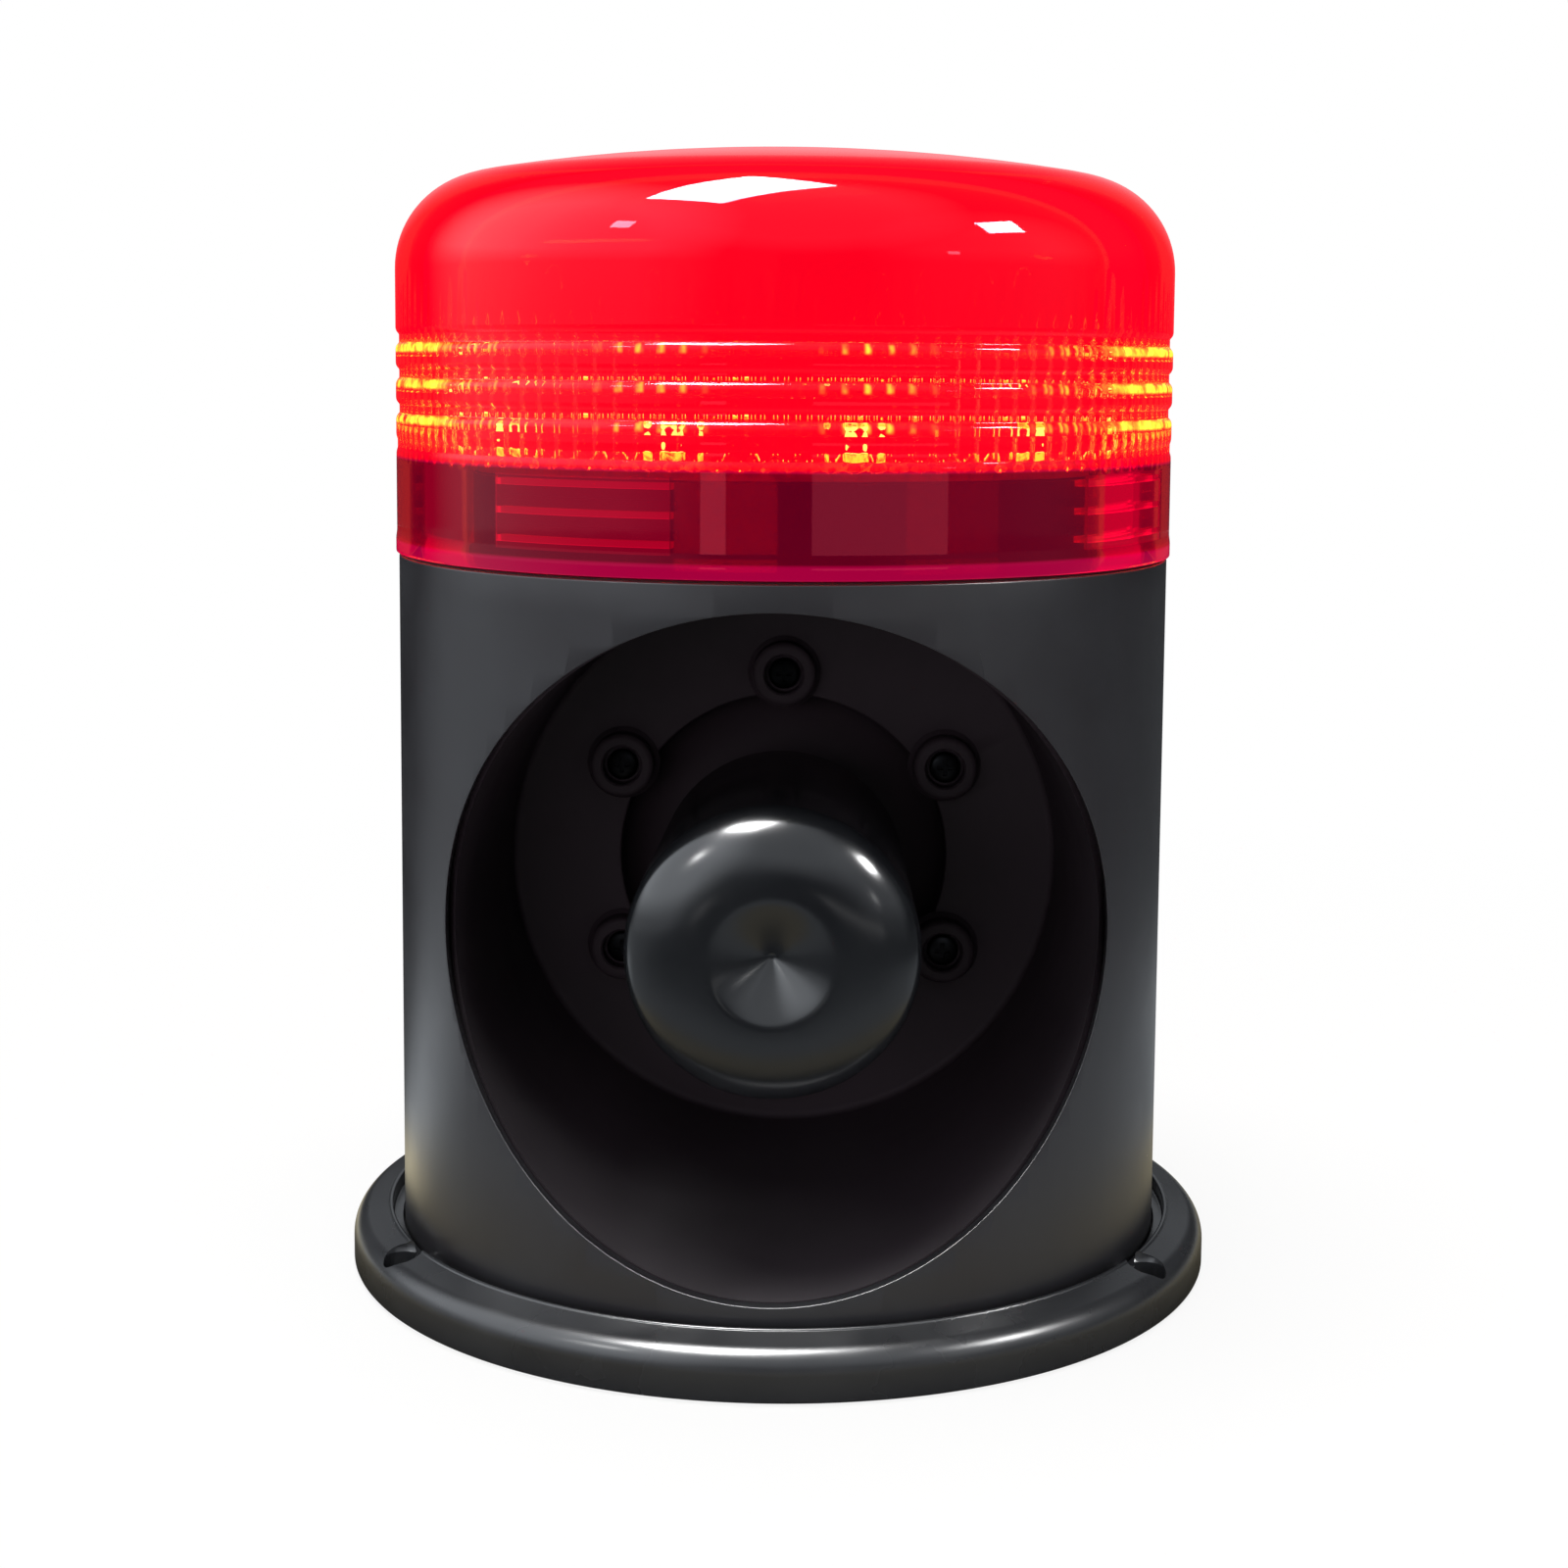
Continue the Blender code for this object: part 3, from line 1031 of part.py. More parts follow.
def fasteners():
    """The screws that hold the base, the bell and the throat."""
    head_seat = BASE_RECESS - SEAT_GAP
    for index, (x, y) in enumerate(around(BASE_POST_COUNT, BASE_POST_FIRST_ANGLE, BASE_POST_CIRCLE)):
        screw(f"base_screw_{index + 1}", SCREW_LENGTH, location=(x, y, head_seat), flipped=True)
    for index, (x, y) in enumerate(bell_posts()):
        screw(f"bell_screw_{index + 1}", SCREW_LENGTH, location=(x, y, DECK_TOP + SEAT_GAP))
    pocket_floor = BELL_FACE + BOSS_HEIGHT - BOSS_POCKET_DEPTH
    for index, (x, y) in enumerate(around(BOSS_COUNT, 0.0, BOSS_CIRCLE)):
        place = (x, y, pocket_floor + SEAT_GAP)
        screw(f"horn_screw_{index + 1}", SCREW_LENGTH, BLACK_STEEL, parent=HORN_AXIS, location=place)


base_flange()
housing_shell()
cable_grommet()
horn_bell()
horn_throat()
horn_bulb()
driver()
diaphragm_and_coil()
speaker_leads()
main_board()
board_parts()
volume_control()
led_board()
leds()
lens_gasket()
lens_dome()
fasteners()
bpy.context.view_layer.update()
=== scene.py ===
"""Looks of an alarm siren with a lit beacon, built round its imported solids.

Metres, +Z up, with the horn facing -Y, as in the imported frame. Each sub-assembly is a class that models
the pieces that show, dresses them in their finishes and rides them on their bodies.
"""

import logging
import math
from collections.abc import Callable, Iterator, Sequence
from contextlib import contextmanager
from dataclasses import dataclass
from enum import Enum

import bmesh
import bpy
from mathutils import Matrix, Vector


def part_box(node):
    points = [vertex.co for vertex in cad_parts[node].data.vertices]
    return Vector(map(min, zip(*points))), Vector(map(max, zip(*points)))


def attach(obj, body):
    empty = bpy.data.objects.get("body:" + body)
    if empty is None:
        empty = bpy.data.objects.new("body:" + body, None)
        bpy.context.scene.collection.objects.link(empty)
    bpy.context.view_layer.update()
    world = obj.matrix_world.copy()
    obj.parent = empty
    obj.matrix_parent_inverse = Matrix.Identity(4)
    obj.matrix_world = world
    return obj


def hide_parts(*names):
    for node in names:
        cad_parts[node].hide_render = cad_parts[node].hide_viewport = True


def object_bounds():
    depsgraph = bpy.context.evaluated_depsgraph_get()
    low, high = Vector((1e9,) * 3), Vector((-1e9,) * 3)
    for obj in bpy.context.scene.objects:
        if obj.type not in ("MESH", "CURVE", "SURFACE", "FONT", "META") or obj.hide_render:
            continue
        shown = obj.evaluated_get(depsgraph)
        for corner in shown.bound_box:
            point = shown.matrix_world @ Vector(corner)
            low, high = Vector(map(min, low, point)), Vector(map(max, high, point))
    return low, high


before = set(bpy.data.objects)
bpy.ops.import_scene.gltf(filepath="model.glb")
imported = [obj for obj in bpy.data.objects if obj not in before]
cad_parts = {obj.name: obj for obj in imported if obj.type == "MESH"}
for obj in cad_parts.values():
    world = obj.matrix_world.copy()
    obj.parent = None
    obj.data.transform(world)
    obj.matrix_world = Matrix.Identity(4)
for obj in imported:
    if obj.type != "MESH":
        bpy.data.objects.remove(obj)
CAD_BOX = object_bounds()

LOG = logging.getLogger("siren")
MM = 0.001
WELD = 0.001 * MM
SMOOTH_ANGLE = math.radians(38)
SQUARE_ON = 0.9
WHITE = "#ffffff"
Point = tuple[float, float]
Corner = tuple[float, float, float]
Piece = bpy.types.Object
Tree = bpy.types.NodeTree
Socket = bpy.types.NodeSocket


class Body(Enum):
    """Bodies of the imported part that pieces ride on."""

    HOUSING = "housing"
    LENS = "lens"


class Cut(Enum):
    """Ways to combine a piece with a tool."""

    AWAY = "DIFFERENCE"
    ON = "UNION"
    COMMON = "INTERSECT"


class Facing(Enum):
    """Ways a screw's head points, as its turn about X from +Z."""

    UP = 0.0
    FORWARD = math.pi / 2
    DOWN = math.pi


@dataclass(frozen=True)
class Spindle:
    """An axis that pieces are turned about: a point on it and its direction."""

    centre: Corner
    direction: Corner

    def place(self, along: float) -> Vector:
        """The point at a distance along the axis."""
        return Vector(self.centre) + Vector(self.direction) * along

    def turn(self) -> Matrix:
        """The turn that brings +Z onto the axis."""
        return Vector((0.0, 0.0, 1.0)).rotation_difference(Vector(self.direction)).to_matrix().to_4x4()


def box_middle(node: str) -> Vector:
    """The middle of a CAD node's box."""
    low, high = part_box(node)
    return (low + high) / 2


HORN_HEIGHT = box_middle("horn_bulb").z
UPRIGHT = Spindle((0.0, 0.0, 0.0), (0.0, 0.0, 1.0))
HORN_AXIS = Spindle((0.0, 0.0, HORN_HEIGHT), (0.0, 1.0, 0.0))
CABLE_AXIS = Spindle((0.0, 0.0, box_middle("cable_grommet").z), (0.0, 1.0, 0.0))


def upright_at(x: float, y: float) -> Spindle:
    """An upright axis through a place."""
    return Spindle((x, y, 0.0), UPRIGHT.direction)


# Modelling


def activate(piece: Piece) -> None:
    """Makes a piece the only selected one, and active.

    Args:
        piece: the piece.
    """
    bpy.ops.object.select_all(action="DESELECT")
    piece.select_set(True)
    bpy.context.view_layer.objects.active = piece


def primitive(add: Callable, name: str, **sizes: object) -> Piece:
    """Adds a mesh primitive, with nothing else selected.

    Args:
        add: the primitive's operator.
        name: the piece's name.
        sizes: the operator's settings.

    Returns:
        The piece.
    """
    bpy.ops.object.select_all(action="DESELECT")
    add(**sizes)
    piece = bpy.context.object
    piece.name = piece.data.name = name
    return piece


@contextmanager
def editing(piece: Piece, select_by: str = "VERT") -> Iterator[bmesh.types.BMesh]:
    """Opens a piece in edit mode with nothing selected.

    Args:
        piece: the piece to edit.
        select_by: VERT, EDGE or FACE.

    Returns:
        The piece's edit mesh, for selecting by place.
    """
    activate(piece)
    bpy.ops.object.mode_set(mode="EDIT")
    bpy.ops.mesh.select_mode(type=select_by)
    bpy.ops.mesh.select_all(action="DESELECT")
    yield bmesh.from_edit_mesh(piece.data)
    bpy.ops.mesh.select_mode(type="VERT")
    bpy.ops.object.mode_set(mode="OBJECT")


def pick(piece: Piece, parts: Sequence, test: Callable) -> None:
    """Selects the points, edges or faces of an edit mesh that pass a test.

    Args:
        piece: the piece in edit mode.
        parts: the edit mesh's verts, edges or faces.
        test: says of one of them whether it is wanted.
    """
    for part in [part for part in parts if test(part)]:
        part.select_set(True)
    bmesh.update_edit_mesh(piece.data)


def close_up() -> None:
    """Merges doubled points and turns all faces outwards, in edit mode."""
    bpy.ops.mesh.select_all(action="SELECT")
    bpy.ops.mesh.remove_doubles(threshold=WELD)
    bpy.ops.mesh.normals_make_consistent(inside=False)


def rounded(*corners: Point | Corner, steps: int = 5) -> list[Point]:
    """Rounds the corners of an outline.

    Args:
        corners: radius and distance along the axis of each corner, and its fillet's radius unless it is sharp.
        steps: segments of each fillet.

    Returns:
        The points of the outline.
    """
    outline = []
    for index, (radius, along, *fillet) in enumerate(corners):
        here = Vector((radius, along))
        if not fillet:
            outline.append((radius, along))
            continue
        before = (Vector(corners[index - 1][:2]) - here).normalized()
        after = (Vector(corners[(index + 1) % len(corners)][:2]) - here).normalized()
        half = before.angle(after) / 2
        centre = here + (before + after).normalized() * (fillet[0] / math.sin(half))
        start = here + before * (fillet[0] / math.tan(half)) - centre
        end = here + after * (fillet[0] / math.tan(half)) - centre
        sweep = start.angle_signed(end)
        for step in range(steps + 1):
            point = centre + Matrix.Rotation(-sweep * step / steps, 2) @ start
            outline.append((point.x, point.y))
    return outline


def arc(centre: Point, reach: Point, start: float, end: float, steps: int) -> list[Point]:
    """Points of an arc of an ellipse, with its angles in degrees from the first axis."""
    turns = [math.radians(start + (end - start) * step / steps) for step in range(steps + 1)]
    return [(centre[0] + reach[0] * math.cos(turn), centre[1] + reach[1] * math.sin(turn)) for turn in turns]


def around(count: int, first: float, radius: float) -> list[Point]:
    """Evenly spaced places on a circle, with angles in degrees from the front towards +X."""
    turns = [math.radians(first + 360.0 * step / count) for step in range(count)]
    return [(radius * math.sin(turn), -radius * math.cos(turn)) for turn in turns]


def turned(name: str, outline: Sequence[Point], spindle: Spindle, steps: int, ring: bool = False) -> Piece:
    """Draws an outline by extruding a point, and sweeps it round an axis.

    Args:
        name: the piece's name.
        outline: radius and distance along the axis of each point.
        spindle: the axis to sweep about.
        steps: steps of the full turn.
        ring: whether the outline closes on itself, away from the axis.

    Returns:
        The turned piece.
    """
    piece = primitive(bpy.ops.mesh.primitive_plane_add, name, size=MM)
    places = [Vector((radius, 0.0, along)) for radius, along in outline]
    if ring:
        places.append(places[0])
    bpy.ops.object.mode_set(mode="EDIT")
    bpy.ops.mesh.select_all(action="SELECT")
    bpy.ops.mesh.merge(type="CENTER")
    bpy.ops.transform.translate(value=places[0])
    for here, there in zip(places, places[1:]):
        bpy.ops.mesh.extrude_vertices_move(TRANSFORM_OT_translate={"value": there - here})
    bpy.ops.object.mode_set(mode="OBJECT")
    bpy.ops.object.modifier_add(type="SCREW")
    sweep = piece.modifiers[-1]
    sweep.steps = sweep.render_steps = steps
    sweep.use_merge_vertices = True
    sweep.merge_threshold = WELD
    bpy.ops.object.modifier_apply(modifier=sweep.name)
    piece.data.transform(Matrix.Translation(spindle.centre) @ spindle.turn())
    with editing(piece):
        close_up()
    return piece


def rod(radius: float, low: float, high: float, spindle: Spindle, corners: int = 64) -> Piece:
    """A round bar along a spindle.

    Args:
        radius: its radius.
        low: where it starts along the axis.
        high: where it ends.
        spindle: its axis.
        corners: its number of sides.

    Returns:
        The bar.
    """
    sizes = {"vertices": corners, "radius": radius, "depth": high - low}
    place = {"location": spindle.place((low + high) / 2), "rotation": spindle.turn().to_euler()}
    return primitive(bpy.ops.mesh.primitive_cylinder_add, "rod", **sizes, **place)


def block(size: Corner, centre: Corner, edge: float) -> Piece:
    """A block with rounded edges.

    Args:
        size: its three sizes.
        centre: its middle.
        edge: the radius of its edges.

    Returns:
        The block, with its place in its mesh.
    """
    piece = primitive(bpy.ops.mesh.primitive_cube_add, "block", size=1.0, location=centre, scale=size)
    bpy.ops.object.transform_apply(location=True, rotation=True, scale=True)
    with editing(piece):
        bpy.ops.mesh.select_all(action="SELECT")
        bpy.ops.mesh.bevel(offset=edge, segments=3, affect="EDGES")
    return piece


def combine(piece: Piece, tool: Piece, how: Cut = Cut.AWAY) -> None:
    """Combines a piece with a tool, and removes the tool.

    Args:
        piece: the piece to change.
        tool: the solid that it is combined with.
        how: whether the tool is taken away, put on or kept in common.
    """
    activate(piece)
    bpy.ops.object.modifier_add(type="BOOLEAN")
    change = piece.modifiers[-1]
    change.object = tool
    change.operation = how.value
    change.solver = "EXACT"
    bpy.ops.object.modifier_apply(modifier=change.name)
    bpy.data.objects.remove(tool)


def copied(piece: Piece, name: str, move: Matrix) -> Piece:
    """Copies a piece with its own mesh, moved in the mesh.

    Args:
        piece: the piece to copy.
        name: the copy's name.
        move: where the copy goes.

    Returns:
        The copy.
    """
    activate(piece)
    bpy.ops.object.duplicate()
    made = bpy.context.object
    made.name = made.data.name = name
    made.data.transform(move)
    return made


def joined(pieces: Sequence[Piece]) -> Piece:
    """Joins pieces into the first of them.

    Args:
        pieces: the pieces.

    Returns:
        The first of them.
    """
    activate(pieces[0])
    for piece in pieces:
        piece.select_set(True)
    bpy.ops.object.join()
    return pieces[0]


# Finishes


def linear(colour: str) -> tuple[float, float, float, float]:
    """An sRGB hex colour as linear RGBA.

    Args:
        colour: the colour.

    Returns:
        Its four parts.
    """
    parts = [int(colour[start : start + 2], 16) / 255 for start in (1, 3, 5)]
    bent = [part / 12.92 if part <= 0.04045 else ((part + 0.055) / 1.055) ** 2.4 for part in parts]
    return (*bent, 1.0)


def between(ends: Point, levels: Point = (0.0, 1.0)) -> dict[str, float]:
    """The socket values that bring the range between two ends onto that between two levels."""
    return {"From Min": ends[0], "From Max": ends[1], "To Min": levels[0], "To Max": levels[1]}


def bare_tree(owner: bpy.types.Material | bpy.types.World) -> Tree:
    """Empties the node tree of a material or world.

    Args:
        owner: the material or world.

    Returns:
        Its tree.
    """
    owner.use_nodes = True
    owner.node_tree.nodes.clear()
    return owner.node_tree


def add_node(tree: Tree, kind: str, inputs: dict | None = None, **settings: object) -> bpy.types.Node:
    """Adds a shader node with its settings, values and links.

    Args:
        tree: the node tree.
        kind: the node's type, without its ShaderNode prefix.
        inputs: a value, or an output to link from, for each socket by name or index.
        settings: the node's own properties.

    Returns:
        The node.
    """
    made = tree.nodes.new("ShaderNode" + kind)
    for key, value in settings.items():
        setattr(made, key, value)
    for key, value in (inputs or {}).items():
        if isinstance(value, Socket):
            tree.links.new(value, made.inputs[key])
        else:
            made.inputs[key].default_value = value
    return made


@dataclass(frozen=True)
class Finish:
    """A finish, with its material's name, the record's slot and its refractive index."""

    name: str
    slot: str
    ior: float = 1.5

    def shade(self, tree: Tree) -> dict:
        """Says how the finish is shaded."""
        raise NotImplementedError

    def material(self) -> bpy.types.Material:
        """Makes the finish's material when it is first asked for.

        Returns:
            The material.
        """
        made = bpy.data.materials.get(self.name)
        if made is None:
            made = bpy.data.materials.new(self.name)
            tree = bare_tree(made)
            shader = add_node(tree, "BsdfPrincipled", {"IOR": self.ior, **self.shade(tree)})
            add_node(tree, "OutputMaterial", {"Surface": shader.outputs["BSDF"]})
        return made

    def dress(self, piece: Piece) -> None:
        """Gives a piece this finish and no other."""
        piece.data.materials.clear()
        piece.data.materials.append(self.material())

    def settle(self, piece: Piece, *nodes: str, body: Body = Body.HOUSING) -> None:
        """Smooths a dressed piece, rides it on its body and lets it stand for CAD nodes.

        Args:
            piece: the dressed piece.
            nodes: the CAD nodes that it stands for.
            body: the body that it moves with.
        """
        activate(piece)
        bpy.ops.object.shade_smooth_by_angle(angle=SMOOTH_ANGLE)
        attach(piece, body.value)
        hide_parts(*nodes)
        LOG.info("%s: %d faces on %s", piece.name, len(piece.data.polygons), body.value)

    def complete(self, piece: Piece, *nodes: str, body: Body = Body.HOUSING) -> None:
        """Dresses a piece and settles it."""
        self.dress(piece)
        self.settle(piece, *nodes, body=body)


@dataclass(frozen=True)
class MouldedPlastic(Finish):
    """Injection-moulded plastic: soft patches of tone and gloss, a fine mould grain and some settled dust."""

    colour: str = "#141518"
    tone: str = "#1a1b1f"
    roughness: float = 0.35
    smear: float = 0.04
    patch: float = 22 * MM
    patch_detail: float = 4.0
    patch_ends: Point = (0.3, 0.7)
    grain: float = 0.45 * MM  # drawn coarser than the real grain, so that it shows
    grain_depth: float = 0.004 * MM
    specular: float = 0.5
    dust_share: float = 0.0
    dust_cell: float = 7.0 * MM
    dust_size: float = 0.17 * MM
    dust_colour: str = "#b4b0a8"

    def shade(self, tree: Tree) -> dict:
        """Says how the finish is shaded.

        Args:
            tree: the material's node tree.

        Returns:
            The values and links of its Principled shader.
        """
        place = add_node(tree, "TexCoord").outputs["Object"]
        spread = {"Vector": place, "Scale": 1 / self.patch, "Detail": self.patch_detail}
        patches = add_node(tree, "TexNoise", spread).outputs[0]
        shares = {0: patches, 6: linear(self.colour), 7: linear(self.tone)}
        colour = add_node(tree, "Mix", shares, data_type="RGBA").outputs[2]
        if self.dust_share > 0.0:
            cells = add_node(tree, "TexVoronoi", {"Vector": place, "Scale": 1 / self.dust_cell})
            near = {0: cells.outputs["Distance"], 1: self.dust_size / self.dust_cell}
            inside = add_node(tree, "Math", near, operation="LESS_THAN").outputs[0]
            dusty = {0: cells.outputs["Color"], 1: 1.0 - self.dust_share}
            chosen = add_node(tree, "Math", dusty, operation="GREATER_THAN").outputs[0]
            speck = add_node(tree, "Math", {0: inside, 1: chosen}, operation="MULTIPLY").outputs[0]
            dusted = {0: speck, 6: colour, 7: linear(self.dust_colour)}
            colour = add_node(tree, "Mix", dusted, data_type="RGBA").outputs[2]
        levels = (self.roughness - self.smear, self.roughness + self.smear)
        gloss = {"Value": patches, **between(self.patch_ends, levels)}
        grain = add_node(tree, "TexNoise", {"Vector": place, "Scale": 1 / self.grain, "Detail": 2.0})
        bump = {"Height": grain.outputs[0], "Distance": self.grain_depth, "Strength": 1.0}
        return {
            "Base Color": colour,
            "Roughness": add_node(tree, "MapRange", gloss).outputs[0],
            "Normal": add_node(tree, "Bump", bump).outputs[0],
            "Specular IOR Level": self.specular,
        }


@dataclass(frozen=True)
class RedPolycarbonate(Finish):
    """Clear red polycarbonate, moulded and polished, with a painted glow above the lamp board.

    The tint lets little but red through, so the lamps behind it show amber. Above the board the moulding
    has a painted glow that stands in for the lamps' light that it scatters, the skirt below has only a faint
    painted glow, and the rim's edge has a painted glow for the light that it pipes. Painted glints in rows of
    dots stand in for the lamps' light that the bands, prism rings and flutes gather, with a colour of their own
    on the inner wall, before the tint. Edge-on it bends light less, so that its edges stay red.
    """

    ior: float = 1.58
    edge_ior: float = 1.06
    edge_ends: Point = (0.3, 0.6)
    polish: float = 0.03
    colour: str = "#8a2010"
    tone: str = "#7c1a0c"
    # Painted glow: the glow colours and levels below are emission that stands in for the lamps' light in the
    # lens, which is no lamp itself.
    glow: str = "#ff002b"
    gloss_tint: str = "#ff5f78"
    skirt_painted_glow_hue: str = "#ff0074"
    # Painted glints: colours of the rows of dots that stand in for gathered lamp light.
    inner_painted_glint: str = "#bcff4f"
    outer_painted_glint: str = "#ffc22e"
    dome_painted_glow: float = 0.52
    skirt_painted_glow: float = 0.056
    pad_painted_glow: float = 0.34
    ridge_painted_glow: float = 0.72
    rim_painted_glow: float = 0.24
    # Strengths of the painted glints, inside and outside.
    inner_painted_glint_strength: float = 8.0
    outer_painted_glint_strength: float = 1.7
    board_level: float = 167.7 * MM
    rim_level: float = 151.1 * MM
    pad_radius: float = 76.95 * MM
    ridge_radius: float = 76.3 * MM
    inner_radius: float = 78.2 * MM
    # Where the painted glints lie: their rows, flutes, lamps and sides.
    row_level: float = 189.5 * MM
    row_pitch: float = 7.05 * MM
    row_marks: Point = (0.55, 0.95)
    row_ends: Point = (172.5 * MM, 191.5 * MM)
    flutes: int = 120
    flute_marks: Point = (0.35, 1.3)
    lamps: int = 12
    lamp_marks: Point = (-0.6, 1.1)
    lamp_turn: float = 13.0
    sides: int = 2
    side_marks: Point = (0.1, 0.45)
    glint_patch: float = 3.5 * MM
    glint_ends: Point = (0.34, 0.58)
    fade: float = 0.35 * MM
    patch: float = 40 * MM
    ripple: float = 9 * MM
    ripple_depth: float = 0.006 * MM

    def wave(self, tree: Tree, value: Socket, count: float, shift: float, ends: Point) -> Socket:
        """A repeating mark: 1 where a value's wave peaks and 0 away from the peaks.

        Args:
            tree: the node tree.
            value: the value that is followed.
            count: waves in each full turn of the value.
            shift: where a peak lies, in the value's units.
            ends: levels of the wave where the mark starts and is full.

        Returns:
            The mark.
        """
        phase = add_node(tree, "Math", {0: value, 1: count, 2: -count * shift}, operation="MULTIPLY_ADD")
        peak = add_node(tree, "Math", {0: phase.outputs[0]}, operation="COSINE").outputs[0]
        reach = {"Value": peak, **between(ends)}
        return add_node(tree, "MapRange", reach, interpolation_type="SMOOTHSTEP").outputs[0]

    def step(self, tree: Tree, value: Socket, at: float, below: float, above: float) -> Socket:
        """A strength that changes where a value passes a level."""
        reach = between((at - self.fade, at + self.fade), (below, above))
        return add_node(tree, "MapRange", {"Value": value, **reach}).outputs[0]

    def painted_glints(self, tree: Tree, place: Socket, height: Socket) -> Socket:
        """Painted glints: emission in rows of dots that stands in for the lamps' light that the bands, prism
        rings and flutes gather.

        Args:
            tree: the node tree.
            place: the place on the lens.
            height: its height.

        Returns:
            How much there is.
        """
        parts = add_node(tree, "SeparateXYZ", {0: place}).outputs
        turn = add_node(tree, "Math", {0: parts["Y"], 1: parts["X"]}, operation="ARCTAN2").outputs[0]
        uneven = add_node(tree, "TexNoise", {"Vector": place, "Scale": 1 / self.glint_patch}).outputs[0]
        low, high = self.row_ends
        dots = self.wave(tree, turn, self.flutes, 0.0, self.flute_marks)
        lamps = self.wave(tree, turn, self.lamps, math.radians(self.lamp_turn), self.lamp_marks)
        dotted = add_node(tree, "Math", {0: dots, 1: lamps}, operation="MULTIPLY").outputs[0]
        at_sides = self.wave(tree, turn, self.sides, 0.0, self.side_marks)
        mark = self.wave(tree, height, math.tau / self.row_pitch, self.row_level, self.row_marks)
        others = [
            add_node(tree, "Math", {0: dotted, 1: at_sides}, operation="MAXIMUM").outputs[0],
            add_node(tree, "MapRange", {"Value": uneven, **between(self.glint_ends)}).outputs[0],
            self.step(tree, height, low, 0.0, 1.0),
            self.step(tree, height, high, 1.0, 0.0),
        ]
        for other in others:
            mark = add_node(tree, "Math", {0: mark, 1: other}, operation="MULTIPLY").outputs[0]
        return mark

    def shade(self, tree: Tree) -> dict:
        """Says how the finish is shaded.

        Args:
            tree: the material's node tree.

        Returns:
            The values and links of its Principled shader.
        """
        place = add_node(tree, "TexCoord").outputs["Object"]
        height = add_node(tree, "SeparateXYZ", {0: place}).outputs["Z"]
        flat = add_node(tree, "VectorMath", {0: place, 1: (1.0, 1.0, 0.0)}, operation="MULTIPLY").outputs[0]
        reach = add_node(tree, "VectorMath", {0: flat}, operation="LENGTH").outputs["Value"]
        # Painted glow: emission levels by radius and height that stand in for the lamps' light in the moulding.
        skirt = self.step(tree, reach, self.pad_radius, self.pad_painted_glow, self.skirt_painted_glow)
        ridges = self.step(tree, reach, self.ridge_radius, self.ridge_painted_glow, 0.0)
        rim = self.step(tree, height, self.rim_level, self.rim_painted_glow, 0.0)
        for level in (ridges, rim):
            skirt = add_node(tree, "Math", {0: skirt, 1: level}, operation="MAXIMUM").outputs[0]
        above = self.step(tree, height, self.board_level, 0.0, 1.0)
        lit = add_node(tree, "Mix", {0: above, 2: skirt, 3: self.dome_painted_glow}).outputs[0]
        hues = {0: above, 6: linear(self.skirt_painted_glow_hue), 7: linear(self.glow)}
        hue = add_node(tree, "Mix", hues, data_type="RGBA").outputs[2]
        # Painted glints in rows of dots, pale green inside and amber outside.
        painted_glint = self.painted_glints(tree, place, height)
        outside = self.step(tree, reach, self.inner_radius, 0.0, 1.0)
        glint_hues = {0: outside, 6: linear(self.inner_painted_glint), 7: linear(self.outer_painted_glint)}
        glint_hue = add_node(tree, "Mix", glint_hues, data_type="RGBA").outputs[2]
        glint_strength = add_node(tree, "Mix", {0: outside, 2: self.inner_painted_glint_strength, 3: self.outer_painted_glint_strength}).outputs[0]
        glinted = {0: painted_glint, 6: hue, 7: glint_hue}
        patches = add_node(tree, "TexNoise", {"Vector": place, "Scale": 1 / self.patch}).outputs[0]
        shares = {0: patches, 6: linear(self.colour), 7: linear(self.tone)}
        waves = add_node(tree, "TexNoise", {"Vector": place, "Scale": 1 / self.ripple, "Detail": 1.0})
        ripple = {"Height": waves.outputs[0], "Distance": self.ripple_depth, "Strength": 1.0}
        edge_on = add_node(tree, "LayerWeight", {"Blend": 0.5}).outputs["Facing"]
        bend = {"Value": edge_on, **between(self.edge_ends, (self.ior, self.edge_ior))}
        return {
            "Base Color": add_node(tree, "Mix", shares, data_type="RGBA").outputs[2],
            "IOR": add_node(tree, "MapRange", bend).outputs[0],
            "Roughness": self.polish,
            "Transmission Weight": 1.0,
            "Specular Tint": linear(self.gloss_tint),
            "Emission Color": add_node(tree, "Mix", glinted, data_type="RGBA").outputs[2],
            "Emission Strength": add_node(tree, "Mix", {0: painted_glint, 2: lit, 3: glint_strength}).outputs[0],
            "Normal": add_node(tree, "Bump", ripple).outputs[0],
        }


